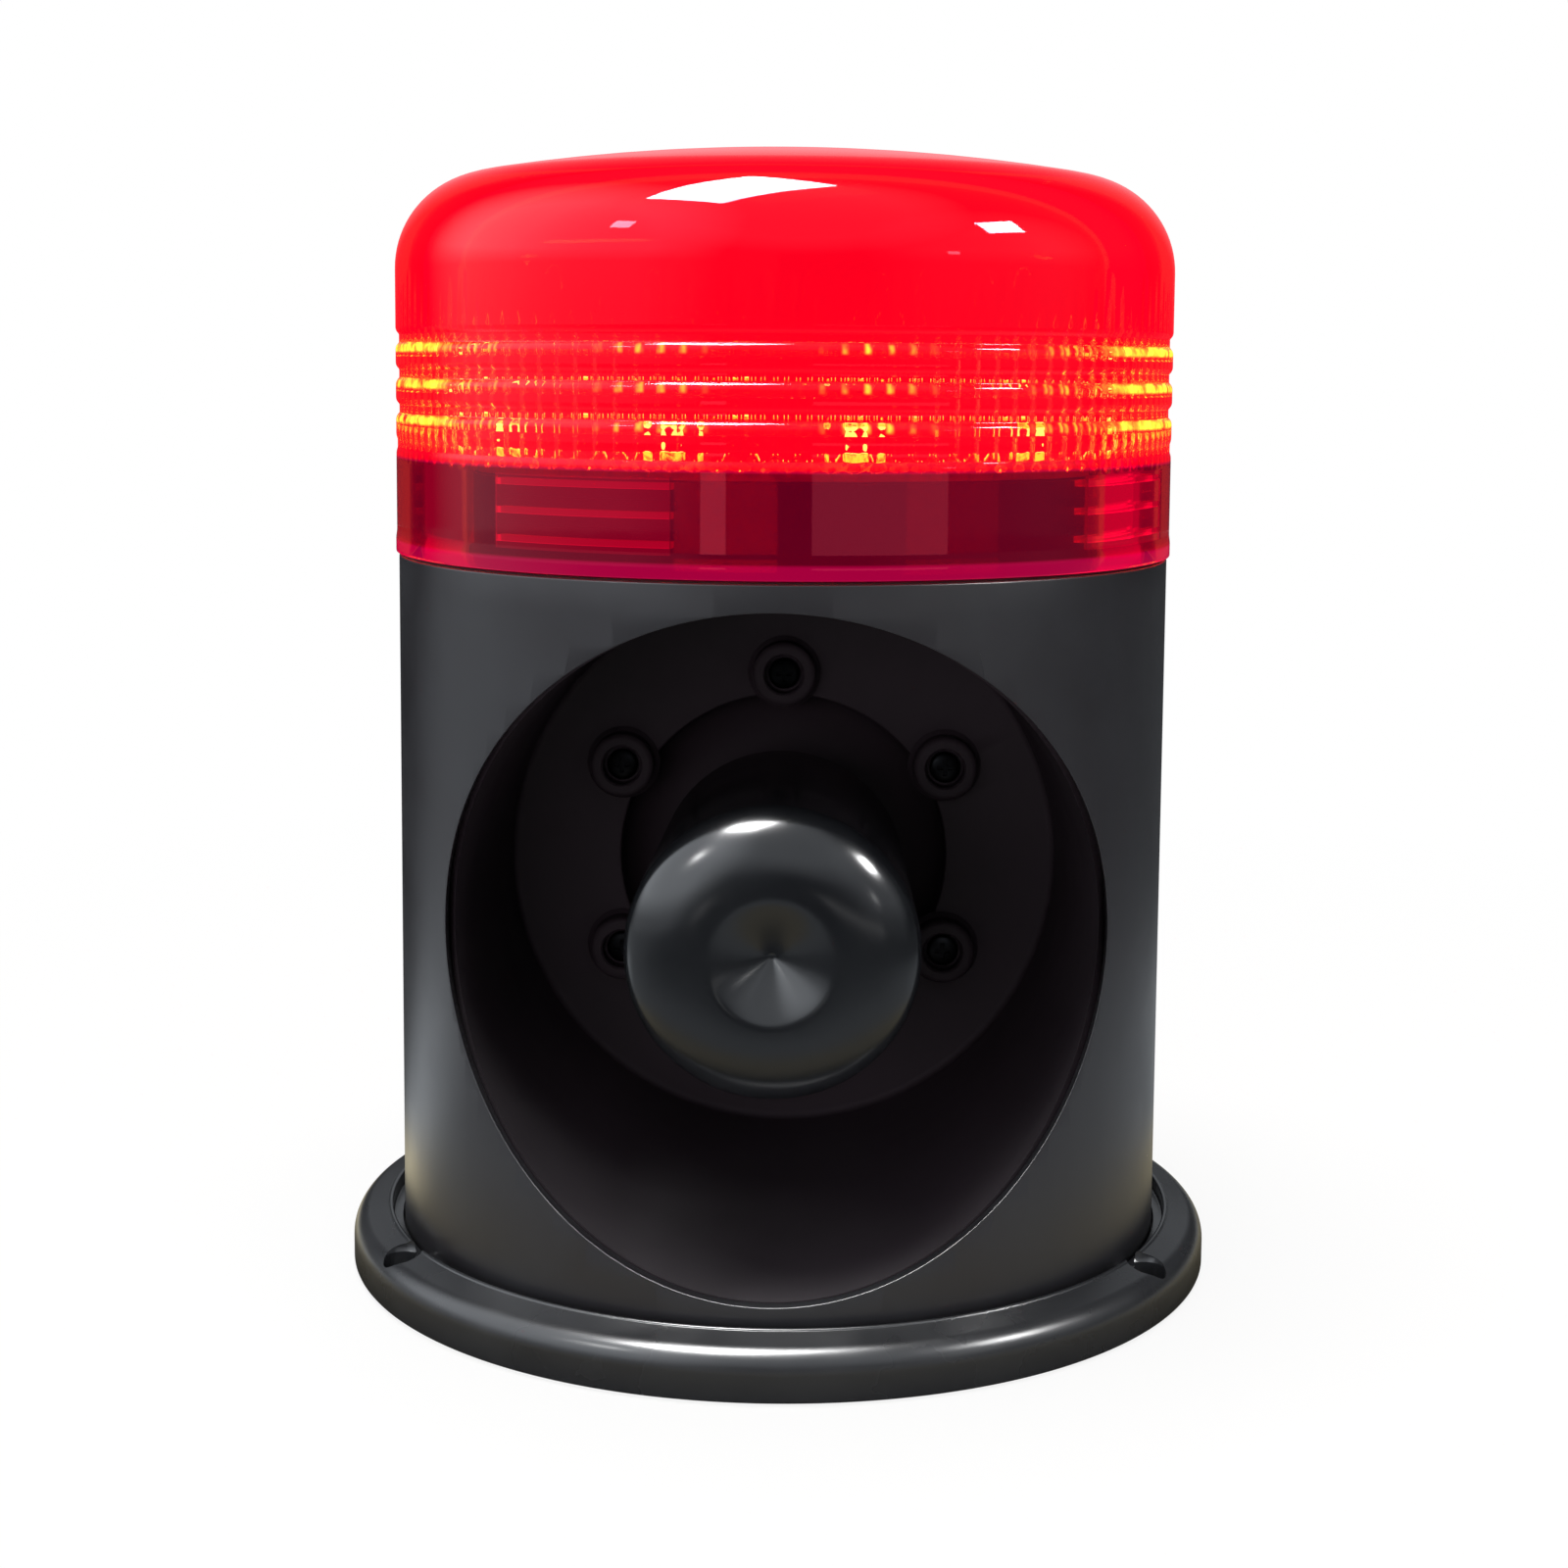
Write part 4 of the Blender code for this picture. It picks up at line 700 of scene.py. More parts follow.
@dataclass(frozen=True)
class LitResin(Finish):
    """Clear lamp resin with its lamp on: a bright cap over an amber body that the chip lights unevenly."""

    colour: str = "#ffe9b0"
    polish: float = 0.2
    body: str = "#ffc04a"
    cap: str = "#ffe9a6"
    body_glow: Point = (0.2, 160.0)
    cap_glow: float = 150.0
    cap_level: float = 172.2 * MM
    fade: float = 0.4 * MM
    streak: float = 1.6 * MM
    streak_ends: Point = (0.35, 0.65)

    def shade(self, tree: Tree) -> dict:
        """Says how the finish is shaded.

        Args:
            tree: the material's node tree.

        Returns:
            The values and links of its Principled shader.
        """
        place = add_node(tree, "TexCoord").outputs["Object"]
        height = add_node(tree, "SeparateXYZ", {0: place}).outputs["Z"]
        reach = between((self.cap_level - self.fade, self.cap_level + self.fade))
        share = add_node(tree, "MapRange", {"Value": height, **reach}).outputs[0]
        streaks = add_node(tree, "TexNoise", {"Vector": place, "Scale": 1 / self.streak}).outputs[0]
        uneven = {"Value": streaks, **between(self.streak_ends, self.body_glow)}
        body = add_node(tree, "MapRange", uneven).outputs[0]
        hues = {0: share, 6: linear(self.body), 7: linear(self.cap)}
        return {
            "Base Color": linear(self.colour),
            "Roughness": self.polish,
            "Emission Color": add_node(tree, "Mix", hues, data_type="RGBA").outputs[2],
            "Emission Strength": add_node(tree, "Mix", {0: share, 2: body, 3: self.cap_glow}).outputs[0],
        }


@dataclass(frozen=True)
class PlatedMetal(Finish):
    """Metal that was rolled or turned and then plated: a sheen broken by drawn lines and handling marks."""

    colour: str = "#b9bbbd"
    tone: str = "#9fa1a4"
    roughness: float = 0.32
    smear: float = 0.1
    line: float = 0.3 * MM
    line_draw: Corner = (1.0, 0.08, 1.0)
    line_depth: float = 0.003 * MM
    mark: float = 4.0 * MM
    mark_detail: float = 4.0

    def shade(self, tree: Tree) -> dict:
        """Says how the finish is shaded.

        Args:
            tree: the material's node tree.

        Returns:
            The values and links of its Principled shader.
        """
        place = add_node(tree, "TexCoord").outputs["Object"]
        spread = {"Vector": place, "Scale": 1 / self.mark, "Detail": self.mark_detail}
        marks = add_node(tree, "TexNoise", spread).outputs[0]
        shares = {0: marks, 6: linear(self.colour), 7: linear(self.tone)}
        drawn = add_node(tree, "Mapping", {"Vector": place, "Scale": self.line_draw}).outputs[0]
        lines = add_node(tree, "TexNoise", {"Vector": drawn, "Scale": 1 / self.line}).outputs[0]
        gloss = {"Value": marks, "To Min": self.roughness - self.smear, "To Max": self.roughness + self.smear}
        bump = {"Height": lines, "Distance": self.line_depth, "Strength": 1.0}
        return {
            "Base Color": add_node(tree, "Mix", shares, data_type="RGBA").outputs[2],
            "Metallic": 1.0,
            "Roughness": add_node(tree, "MapRange", gloss).outputs[0],
            "Normal": add_node(tree, "Bump", bump).outputs[0],
        }


@dataclass(frozen=True)
class MaskedBoard(Finish):
    """Glass-fibre board under solder mask: an even lacquer through which copper tracks show as faint lines."""

    ior: float = 1.52
    colour: str = "#0d3d24"
    track: str = "#18583a"
    pitch: float = 2.54 * MM
    width: float = 0.35 * MM
    length: float = 4.0
    relief: float = 0.03 * MM
    gloss: Point = (0.42, 0.34)

    def shade(self, tree: Tree) -> dict:
        """Says how the finish is shaded.

        Args:
            tree: the material's node tree.

        Returns:
            The values and links of its Principled shader.
        """
        tracks = {
            "Vector": add_node(tree, "TexCoord").outputs["Object"],
            "Color1": linear(self.colour),
            "Color2": linear(self.colour),
            "Mortar": linear(self.track),
            "Scale": 1 / self.pitch,
            "Mortar Size": self.width / self.pitch / 2,
            "Brick Width": self.length,
            "Row Height": 1.0,
        }
        drawn = add_node(tree, "TexBrick", tracks)
        bump = {"Height": drawn.outputs["Fac"], "Distance": self.relief, "Strength": 1.0}
        gloss = {"Value": drawn.outputs["Fac"], "To Min": self.gloss[0], "To Max": self.gloss[1]}
        return {
            "Base Color": drawn.outputs["Color"],
            "Roughness": add_node(tree, "MapRange", gloss).outputs[0],
            "Normal": add_node(tree, "Bump", bump).outputs[0],
        }


@dataclass(frozen=True)
class WoundWire(Finish):
    """Enamelled copper wire, wound close along an axis: round turns that catch the light as fine rings."""

    colour: str = "#c4703c"
    tone: str = "#6b3216"
    polish: float = 0.3
    pitch: float = 0.45 * MM  # drawn coarser than the real turns, so that it shows
    axis: str = "Y"

    def shade(self, tree: Tree) -> dict:
        """Says how the finish is shaded.

        Args:
            tree: the material's node tree.

        Returns:
            The values and links of its Principled shader.
        """
        place = add_node(tree, "TexCoord").outputs["Object"]
        wound = {"Vector": place, "Scale": math.pi / (10 * self.pitch)}
        turns = add_node(tree, "TexWave", wound, bands_direction=self.axis).outputs["Fac"]
        shares = {0: turns, 6: linear(self.tone), 7: linear(self.colour)}
        bump = {"Height": turns, "Distance": self.pitch / 4, "Strength": 1.0}
        return {
            "Base Color": add_node(tree, "Mix", shares, data_type="RGBA").outputs[2],
            "Metallic": 1.0,
            "Roughness": self.polish,
            "Normal": add_node(tree, "Bump", bump).outputs[0],
        }


@dataclass(frozen=True)
class Sintered(Finish):
    """Pressed and fired ferrite: a dull grey-black with crystals that glint and small pits."""

    colour: str = "#26262a"
    tone: str = "#3b3b40"
    crystal: float = 0.6 * MM
    relief: float = 0.02 * MM
    gloss: Point = (0.5, 0.75)

    def shade(self, tree: Tree) -> dict:
        """Says how the finish is shaded.

        Args:
            tree: the material's node tree.

        Returns:
            The values and links of its Principled shader.
        """
        place = add_node(tree, "TexCoord").outputs["Object"]
        cells = add_node(tree, "TexVoronoi", {"Vector": place, "Scale": 1 / self.crystal})
        shares = {0: cells.outputs["Color"], 6: linear(self.colour), 7: linear(self.tone)}
        bump = {"Height": cells.outputs["Distance"], "Distance": self.relief, "Strength": 1.0}
        gloss = {"Value": cells.outputs["Color"], "To Min": self.gloss[0], "To Max": self.gloss[1]}
        return {
            "Base Color": add_node(tree, "Mix", shares, data_type="RGBA").outputs[2],
            "Roughness": add_node(tree, "MapRange", gloss).outputs[0],
            "Normal": add_node(tree, "Bump", bump).outputs[0],
        }


# Black ABS from a lightly grained mould: dark, with a soft sheen that follows the cylinder.
HOUSING_ABS = MouldedPlastic(
    "housing_black_abs", "black_abs", 1.54, "#1f1c1f", "#242529", 0.33, specular=0.42, dust_share=0.25
)
# The same ABS from a smoother mould: a tighter highlight along the rounded shoulder.
BASE_ABS = MouldedPlastic(
    "base_black_abs", "black_abs", 1.54, "#1d1e21", "#242528", 0.28, smear=0.05, specular=0.42, dust_share=0.25
)
# Horn parts from a matt mould: nearly black, with little sheen inside the bell. The faint red cast of its
# colours is painted red light from the lens.
HORN_ABS = MouldedPlastic("horn_matt_abs", "horn_abs", 1.54, "#201a1e", "#292127", 0.6, specular=0.18)
# The bulb's polished mould: sharp highlights on its rounded nose.
BULB_ABS = MouldedPlastic(
    "bulb_polished_abs", "horn_abs", 1.54, "#101114", "#15171a", 0.19, specular=0.42, grain_depth=0.001 * MM
)
# The lens: a clear deep red, with a painted glow where the lamps inside would light it.
LENS_RED = RedPolycarbonate("lens_red_polycarbonate", "red_lens")
# The lamps' resin: amber points, too bright to look into.
LED_RESIN = LitResin("led_lit_resin", "led_resin")
# Moulded rubber: dull and soft-looking, with a powdery bloom.
RUBBER = MouldedPlastic("seal_black_rubber", "rubber", 1.52, "#101010", "#1b1b1b", 0.75, patch=6 * MM)
# Zinc-plated steel: a cool grey shine on the screws.
ZINC_STEEL = PlatedMetal("screw_zinc_steel", "zinc_steel")
# Black-plated steel: a dark satin shine.
BLACK_STEEL = PlatedMetal("black_plated_steel", "black_steel", colour="#2a2a2c", tone="#1e1e20", roughness=0.4)
# Turned brass: a warm shine on the standoffs.
BRASS = PlatedMetal("standoff_turned_brass", "brass", colour="#cdb067", tone="#b2954f", roughness=0.28)
# Extruded aluminium: a pale satin shine on the heat sink's fins.
ALUMINIUM = PlatedMetal("heatsink_aluminium", "aluminium", colour="#c9cbce", tone="#b3b6ba", roughness=0.4)
# Fired ferrite: a dull, dark magnet with faint glints.
FERRITE = Sintered("magnet_ferrite", "ferrite")
# Green and white solder mask: even lacquer with faint tracks.
GREEN_BOARD = MaskedBoard("main_board_green_mask", "board_green")
WHITE_BOARD = MaskedBoard("led_board_white_mask", "board_white", colour="#dcdcd6", track="#c9c9c2")
# Enamelled copper wire: fine warm rings on the coil.
COPPER = WoundWire("coil_enamelled_copper", "copper")
# Pressed phenolic film: brown, slightly translucent-looking, with a woven unevenness.
PHENOLIC = MouldedPlastic(
    "diaphragm_phenolic_film", "phenolic", 1.6, "#6d3b1c", "#83512c", 0.45, patch=3 * MM, grain_depth=0.02 * MM
)
# Small moulded parts on the boards, each even in colour with a soft satin face.
CAN_SLEEVE = MouldedPlastic("capacitor_blue_sleeve", "can_sleeve", 1.53, "#141d3a", "#1a2547")
TERMINAL_GREEN = MouldedPlastic("terminal_green_nylon", "terminal_green", 1.53, "#2f7d48", "#378a52")
POT_BLUE = MouldedPlastic("pot_blue_resin", "pot_blue", 1.53, "#26509a", "#2e5cab")
NYLON_WHITE = MouldedPlastic("knob_white_nylon", "nylon", 1.53, "#e4e3de", "#d6d4cd", 0.45)
# Vinyl insulation: a waxy sheen on the speaker's leads.
LEAD_RED = MouldedPlastic("lead_red_vinyl", "lead_red", 1.53, "#a31a1a", "#b52525", 0.42)
LEAD_BLACK = MouldedPlastic("lead_black_vinyl", "lead_black", 1.53, "#1a1a1a", "#232323", 0.42)


# Sub-assemblies


@dataclass
class BaseFlange:
    """The screw-down base: a floor, a flange with a fine lip and a full shoulder, and three fixings."""

    radius: float = CAD_BOX[1].x
    height: float = 11.0 * MM
    lip: float = 0.35 * MM
    lip_width: float = 1.0 * MM
    shoulder: Point = (4.4 * MM, 4.8 * MM)
    shoulder_foot: float = 5.2 * MM
    shoulder_start: float = 75.0
    shoulder_steps: int = 20
    foot_edge: float = 0.8 * MM
    edge: float = 0.4 * MM
    fine_edge: float = 0.2 * MM
    seat_radius: float = 79.7 * MM
    seat_floor: float = 5.5 * MM
    groove_radius: float = 81.8 * MM
    groove_floor: float = 8.5 * MM
    recess_radius: float = 77.2 * MM
    recess_depth: float = 2.5 * MM
    fixing_count: int = 3
    fixing_first: float = 60.0
    fixing_circle: float = 85.3 * MM
    fixing_steps: int = 64
    pocket_radius: float = 3.8 * MM
    pocket_top: float = 10.3 * MM
    pocket_floor: float = 5.8 * MM
    pocket_flare: float = 0.5 * MM
    pocket_edge: float = 0.3 * MM
    hole_radius: float = 2.25 * MM
    notch_width: float = 3.6 * MM
    notch_floor: float = 8.3 * MM
    notch_edge: float = 0.5 * MM
    clear: float = 4.0 * MM
    steps: int = 360

    def build(self) -> None:
        """Models the base and dresses it."""
        middle = (self.radius - self.shoulder[0], self.shoulder_foot)
        shoulder = arc(middle, self.shoulder, self.shoulder_start, 0.0, self.shoulder_steps)
        lip_top = self.height + self.lip
        lip_end = self.groove_radius + self.lip_width
        outline = rounded(
            (0.0, self.seat_floor),
            (self.seat_radius, self.seat_floor),
            (self.seat_radius, self.groove_floor, self.fine_edge),
            (self.groove_radius, self.groove_floor, self.edge),
            (self.groove_radius, lip_top, self.edge),
            (lip_end - self.lip / 2, lip_top, self.edge),
            (lip_end, self.height, self.fine_edge),
            *shoulder,
            (self.radius, 0.0, self.foot_edge),
            (self.recess_radius, 0.0, self.edge),
            (self.recess_radius, self.recess_depth, self.edge),
            (0.0, self.recess_depth),
            steps=6,
        )
        base = turned("base_flange_moulding", outline, UPRIGHT, self.steps)
        for x, y in around(self.fixing_count, self.fixing_first, self.fixing_circle):
            self.cut_fixing(base, x, y)
        BASE_ABS.complete(base, "base_flange")

    def cut_fixing(self, base: Piece, x: float, y: float) -> None:
        """Cuts a fixing's stepped hole, and the notch from its pocket to the shadow groove.

        Args:
            base: the base to cut.
            x: place of the fixing along X.
            y: place of the fixing along Y.
        """
        above = self.height + self.clear
        flare = self.pocket_radius + self.pocket_flare
        outline = rounded(
            (0.0, above),
            (flare, above),
            (flare, self.pocket_top - self.pocket_flare / 2),
            (self.pocket_radius, self.pocket_top - 2 * self.pocket_flare, self.pocket_edge),
            (self.pocket_radius, self.pocket_floor, self.edge),
            (self.hole_radius, self.pocket_floor, self.fine_edge),
            (self.hole_radius, -self.clear),
            (0.0, -self.clear),
            steps=4,
        )
        combine(base, turned("fixing_tool", outline, upright_at(x, y), self.fixing_steps))
        length = self.fixing_circle - self.seat_radius
        size = (self.notch_width, length, above - self.notch_floor)
        middle = (0.0, -self.fixing_circle + length / 2, (above + self.notch_floor) / 2)
        notch = block(size, middle, self.notch_edge)
        notch.data.transform(Matrix.Rotation(math.atan2(x, -y), 4, "Z"))
        combine(base, notch)


@dataclass
class ThreadSectors:
    """Where the interrupted thread lies: four sectors, with ridges in the lens over lugs on the collar."""

    count: int = 4
    first: float = -132.0
    span: float = 28.0
    play: float = 0.1 * MM
    ridges: tuple[Point, ...] = ((153.7 * MM, 154.9 * MM), (159.0 * MM, 160.2 * MM), (164.3 * MM, 165.5 * MM))
    lugs: tuple[Point, ...] = ((155.2 * MM, 156.8 * MM), (160.5 * MM, 162.1 * MM))

    def raise_from(self, piece: Piece, radius: float, levels: Sequence[Point], depth: float) -> None:
        """Raises lugs or ridges from a round wall in each sector.

        Args:
            piece: the piece with the wall.
            radius: the wall's radius.
            levels: the heights between which each of them lies.
            depth: how far they stand out.
        """

        def raised(face: bmesh.types.BMFace) -> bool:
            """Says whether a face is raised.

            Args:
                face: a face of the piece.

            Returns:
                Whether it lies on the wall, in a sector and at one of the levels.
            """
            middle = face.calc_center_median()
            turn = math.degrees(math.atan2(middle.y, middle.x)) - self.first
            on_wall = abs(middle.xy.length - radius) < self.play and face.normal.xy.length > SQUARE_ON
            in_sector = turn % (360.0 / self.count) < self.span
            return on_wall and in_sector and any(low < middle.z < high for low, high in levels)

        with editing(piece, "FACE") as mesh:
            pick(piece, mesh.faces, raised)
            move = {"value": depth, "use_even_offset": False}
            bpy.ops.mesh.extrude_region_shrink_fatten(TRANSFORM_OT_shrink_fatten=move)


@dataclass
class HousingShell:
    """The housing: a tube with a deck, the lens collar and its lugs, the horn's mouth and the cable's hole."""

    thread: ThreadSectors
    radius: float = 79.4 * MM
    inner: float = 76.9 * MM
    foot: float = 5.8 * MM
    deck_top: float = 147.7 * MM
    deck_underside: float = 145.2 * MM
    deck_corner: float = 0.5 * MM
    top_edge: float = 0.4 * MM
    collar_radius: float = 72.8 * MM
    collar_inner: float = 70.3 * MM
    collar_top: float = 165.5 * MM
    collar_edge: float = 0.3 * MM
    lug_depth: float = 3.6 * MM
    gasket_groove: Point = (77.45 * MM, 78.85 * MM)
    gasket_floor: float = 146.6 * MM
    mouth_radius: float = 64.25 * MM
    mouth_edge: float = 0.22 * MM
    mouth_play: float = 0.03 * MM
    mouth_weld: float = 0.2 * MM
    mouth_corners: int = 256
    cable_hole: float = 6.5 * MM
    lead_hole: float = 6.0 * MM
    lead_hole_place: float = 60.3 * MM
    wall_bands: int = 24
    steps: int = 360
    clear: float = 10 * MM

    def build(self) -> None:
        """Models the housing and dresses it."""
        groove_in, groove_out = self.gasket_groove
        lug_levels = sorted((level for pair in self.thread.lugs for level in pair), reverse=True)
        band = (self.deck_top - self.foot) / self.wall_bands
        wall_levels = [self.deck_top - band * index for index in range(1, self.wall_bands)]
        outline = rounded(
            (0.0, self.deck_top),
            (self.collar_inner, self.deck_top, self.collar_edge),
            (self.collar_inner, self.collar_top, self.collar_edge),
            (self.collar_radius, self.collar_top, self.collar_edge),
            *((self.collar_radius, level) for level in lug_levels),
            (self.collar_radius, self.deck_top, self.collar_edge),
            (groove_in, self.deck_top),
            (groove_in, self.gasket_floor),
            (groove_out, self.gasket_floor),
            (groove_out, self.deck_top),
            (self.radius, self.deck_top, self.top_edge),
            *((self.radius, level) for level in wall_levels),
            (self.radius, self.foot),
            (self.inner, self.foot),
            (self.inner, self.deck_underside, self.deck_corner),
            (0.0, self.deck_underside),
        )
        housing = turned("housing_moulding", outline, UPRIGHT, self.steps)
        self.thread.raise_from(housing, self.collar_radius, self.thread.lugs, self.lug_depth)
        self.cut_openings(housing)
        self.round_mouth(housing)
        HOUSING_ABS.complete(housing, "housing_shell")

    def cut_openings(self, housing: Piece) -> None:
        """Cuts the horn's mouth, the cable's hole and the lead's hole.

        Args:
            housing: the housing.
        """
        front = self.radius + self.clear
        combine(housing, rod(self.mouth_radius, -front, 0.0, HORN_AXIS, self.mouth_corners))
        combine(housing, rod(self.cable_hole, self.inner - self.clear, front, CABLE_AXIS))
        ends = (self.deck_underside - self.clear, self.deck_top + self.clear)
        combine(housing, rod(self.lead_hole, *ends, upright_at(0.0, self.lead_hole_place)))

    def round_mouth(self, housing: Piece) -> None:
        """Rounds the outer edge of the horn's mouth.

        Args:
            housing: the housing.
        """

        def at_mouth(point: bmesh.types.BMVert) -> bool:
            """Says whether a point lies on the mouth's outer edge.

            Args:
                point: a point of the housing.

            Returns:
                Whether it lies on the wall, in front, at the mouth's radius.
            """
            from_horn = math.hypot(point.co.x, point.co.z - HORN_HEIGHT)
            on_wall = abs(point.co.xy.length - self.radius) < self.mouth_play
            return on_wall and abs(from_horn - self.mouth_radius) < self.mouth_play and point.co.y < 0.0

        with editing(housing) as mesh:
            pick(housing, mesh.verts, at_mouth)
            bpy.ops.mesh.remove_doubles(threshold=self.mouth_weld)
        with editing(housing, "EDGE") as mesh:
            pick(housing, mesh.edges, lambda edge: all(map(at_mouth, edge.verts)))
            bpy.ops.mesh.bevel(offset=self.mouth_edge, segments=3, affect="EDGES", clamp_overlap=False)


@dataclass
class HornBell:
    """The bell: a tapered bucket whose front edge meets the housing wall, with six screw bosses on its back."""

    front_radius: float = 64.25 * MM
    front: float = -79.4 * MM
    back_radius: float = 60.0 * MM
    face: float = 26.05 * MM
    back: float = 29.05 * MM
    wall: float = 2.3 * MM
    corner: float = 1.6 * MM
    room_radius: float = 76.6 * MM
    throat_radius: float = 36.0 * MM
    throat_edge: float = 0.6 * MM
    boss_count: int = 6
    boss_circle: float = 41.0 * MM
    boss_radius: float = 7.0 * MM
    boss_front: float = 20.05 * MM
    boss_edge: float = 1.3 * MM
    boss_root: float = 1.04 * MM
    boss_steps: int = 48
    pocket_radius: float = 4.2 * MM
    pocket_floor: float = 24.05 * MM
    pocket_flare: Point = (0.4 * MM, 0.5 * MM)
    pocket_edges: Point = (0.2 * MM, 0.4 * MM)
    hole_radius: float = 2.0 * MM
    post_places: tuple[Point, ...] = ((-0.042, -0.017), (-0.042, 0.017), (0.042, -0.017), (0.042, 0.017))
    post_radius: float = 4.5 * MM
    post_low: float = 115.3 * MM
    post_top: float = 144.9 * MM
    post_corners: int = 32
    pilot_depth: float = 11.0 * MM
    pilot_radius: float = 1.7 * MM
    pilot_corners: int = 24
    steps: int = 256
    clear: float = 10 * MM

    def radius_at(self, along: float) -> float:
        """The bell's inner radius at a place along the horn's axis."""
        share = (along - self.front) / (self.face - self.front)
        return self.front_radius + (self.back_radius - self.front_radius) * share

    def build(self) -> None:
        """Models the bell and dresses it."""
        start = self.front - self.clear
        outer = self.back_radius + self.wall
        taper = [(0.0, start), (self.radius_at(start) + self.wall, start)]
        outside = [*taper, (outer, self.face), (outer, self.back), (0.0, self.back)]
        bell = turned("horn_bell_moulding", outside, HORN_AXIS, self.steps)
        posts = [upright_at(x, y) for x, y in self.post_places]
        for post in posts:
            combine(bell, rod(self.post_radius, self.post_low, self.post_top, post, self.post_corners), Cut.ON)
        room = rod(self.room_radius, -self.clear, CAD_BOX[1].z, UPRIGHT, self.steps)
        combine(bell, room, Cut.COMMON)
        combine(bell, self.inside(start - self.clear))
        combine(bell, self.boss_tools(self.boss_outline()), Cut.ON)
        combine(bell, self.boss_tools(self.pocket_outline()))
        ends = (self.post_top - self.pilot_depth, self.post_top + MM)
        for post in posts:
            combine(bell, rod(self.pilot_radius, *ends, post, self.pilot_corners))
        HORN_ABS.complete(bell, "horn_bell")

    def inside(self, start: float) -> Piece:
        """The space inside the bell and through its throat, as a tool that starts in front of it."""
        outline = rounded(
            (0.0, start),
            (self.radius_at(start), start),
            (self.back_radius, self.face, self.corner),
            (self.throat_radius, self.face, self.throat_edge),
            (self.throat_radius, self.back + MM),
            (0.0, self.back + MM),
            steps=6,
        )
        return turned("bell_inside_tool", outline, HORN_AXIS, self.steps)

    def boss_outline(self) -> list[Point]:
        """A boss in section, with a flared root and a rounded front.

        Returns:
            Its outline.
        """
        sunk = (self.face + self.back) / 2
        flare = self.boss_radius + self.boss_root
        return rounded(
            (0.0, sunk),
            (flare, sunk),
            (flare, self.face),
            (self.boss_radius, self.face - self.boss_root, self.boss_root / 2),
            (self.boss_radius, self.boss_front, self.boss_edge),
            (0.0, self.boss_front),
        )

    def pocket_outline(self) -> list[Point]:
        """A boss's screw pocket and hole in section.

        Returns:
            Their outline.
        """
        wide, deep = self.pocket_flare
        top_edge, floor_edge = self.pocket_edges
        return rounded(
            (0.0, self.boss_front - MM),
            (self.pocket_radius + wide, self.boss_front - MM),
            (self.pocket_radius + wide, self.boss_front),
            (self.pocket_radius, self.boss_front + deep, top_edge),
            (self.pocket_radius, self.pocket_floor, floor_edge),
            (self.hole_radius, self.pocket_floor),
            (self.hole_radius, self.back + MM),
            (0.0, self.back + MM),
        )

    def boss_tools(self, outline: Sequence[Point]) -> Piece:
        """One tool of an outline turned at each boss.

        Args:
            outline: the outline to turn.

        Returns:
            The tool.
        """
        first = turned("boss_tool", outline, HORN_AXIS, self.boss_steps)
        places = around(self.boss_count, 0.0, self.boss_circle)
        tools = [copied(first, "boss_tool_copy", Matrix.Translation((x, 0.0, y))) for x, y in places]
        bpy.data.objects.remove(first)
        return joined(tools)


@dataclass
class HornThroat:
    """The throat: a bowl that turns the sound forward again, the tone tube and the driver's seat."""

    mouth_radius: float = 36.0 * MM
    front: float = 29.35 * MM
    flange_radius: float = 48.0 * MM
    flange_back: float = 33.35 * MM
    body_radius: float = 38.0 * MM
    back: float = 49.85 * MM
    bowl_depth: float = 13.2 * MM
    tube_radius: float = 13.0 * MM
    tube_bore: float = 11.0 * MM
    tube_front: float = -51.7 * MM
    tube_edge: float = 0.8 * MM
    seat_radius: float = 26.8 * MM
    seat_front: float = 48.35 * MM
    dome_room: float = 20.5 * MM
    bore_radius: float = 8.5 * MM
    bore_back: float = 44.55 * MM
    bowl_steps: int = 24
    steps: int = 192

    def build(self) -> None:
        """Models the throat and dresses it."""
        half = (self.mouth_radius - self.tube_radius) / 2
        corner = (self.tube_radius, self.tube_front, self.tube_edge)
        tube_end = rounded((self.tube_bore, 0.0), corner, (self.tube_radius, 0.0))
        outline = [
            *tube_end[1:-1],
            *arc((self.tube_radius + half, self.front), (half, self.bowl_depth), 180.0, 0.0, self.bowl_steps),
            (self.flange_radius, self.front),
            (self.flange_radius, self.flange_back),
            (self.body_radius, self.flange_back),
            (self.body_radius, self.back),
            (self.seat_radius, self.back),
            (self.seat_radius, self.seat_front),
            (self.dome_room, self.seat_front),
            (self.bore_radius, self.bore_back),
            (self.tube_bore, self.tube_front),
        ]
        throat = turned("horn_throat_moulding", outline, HORN_AXIS, self.steps, ring=True)
        HORN_ABS.complete(throat, "horn_throat")


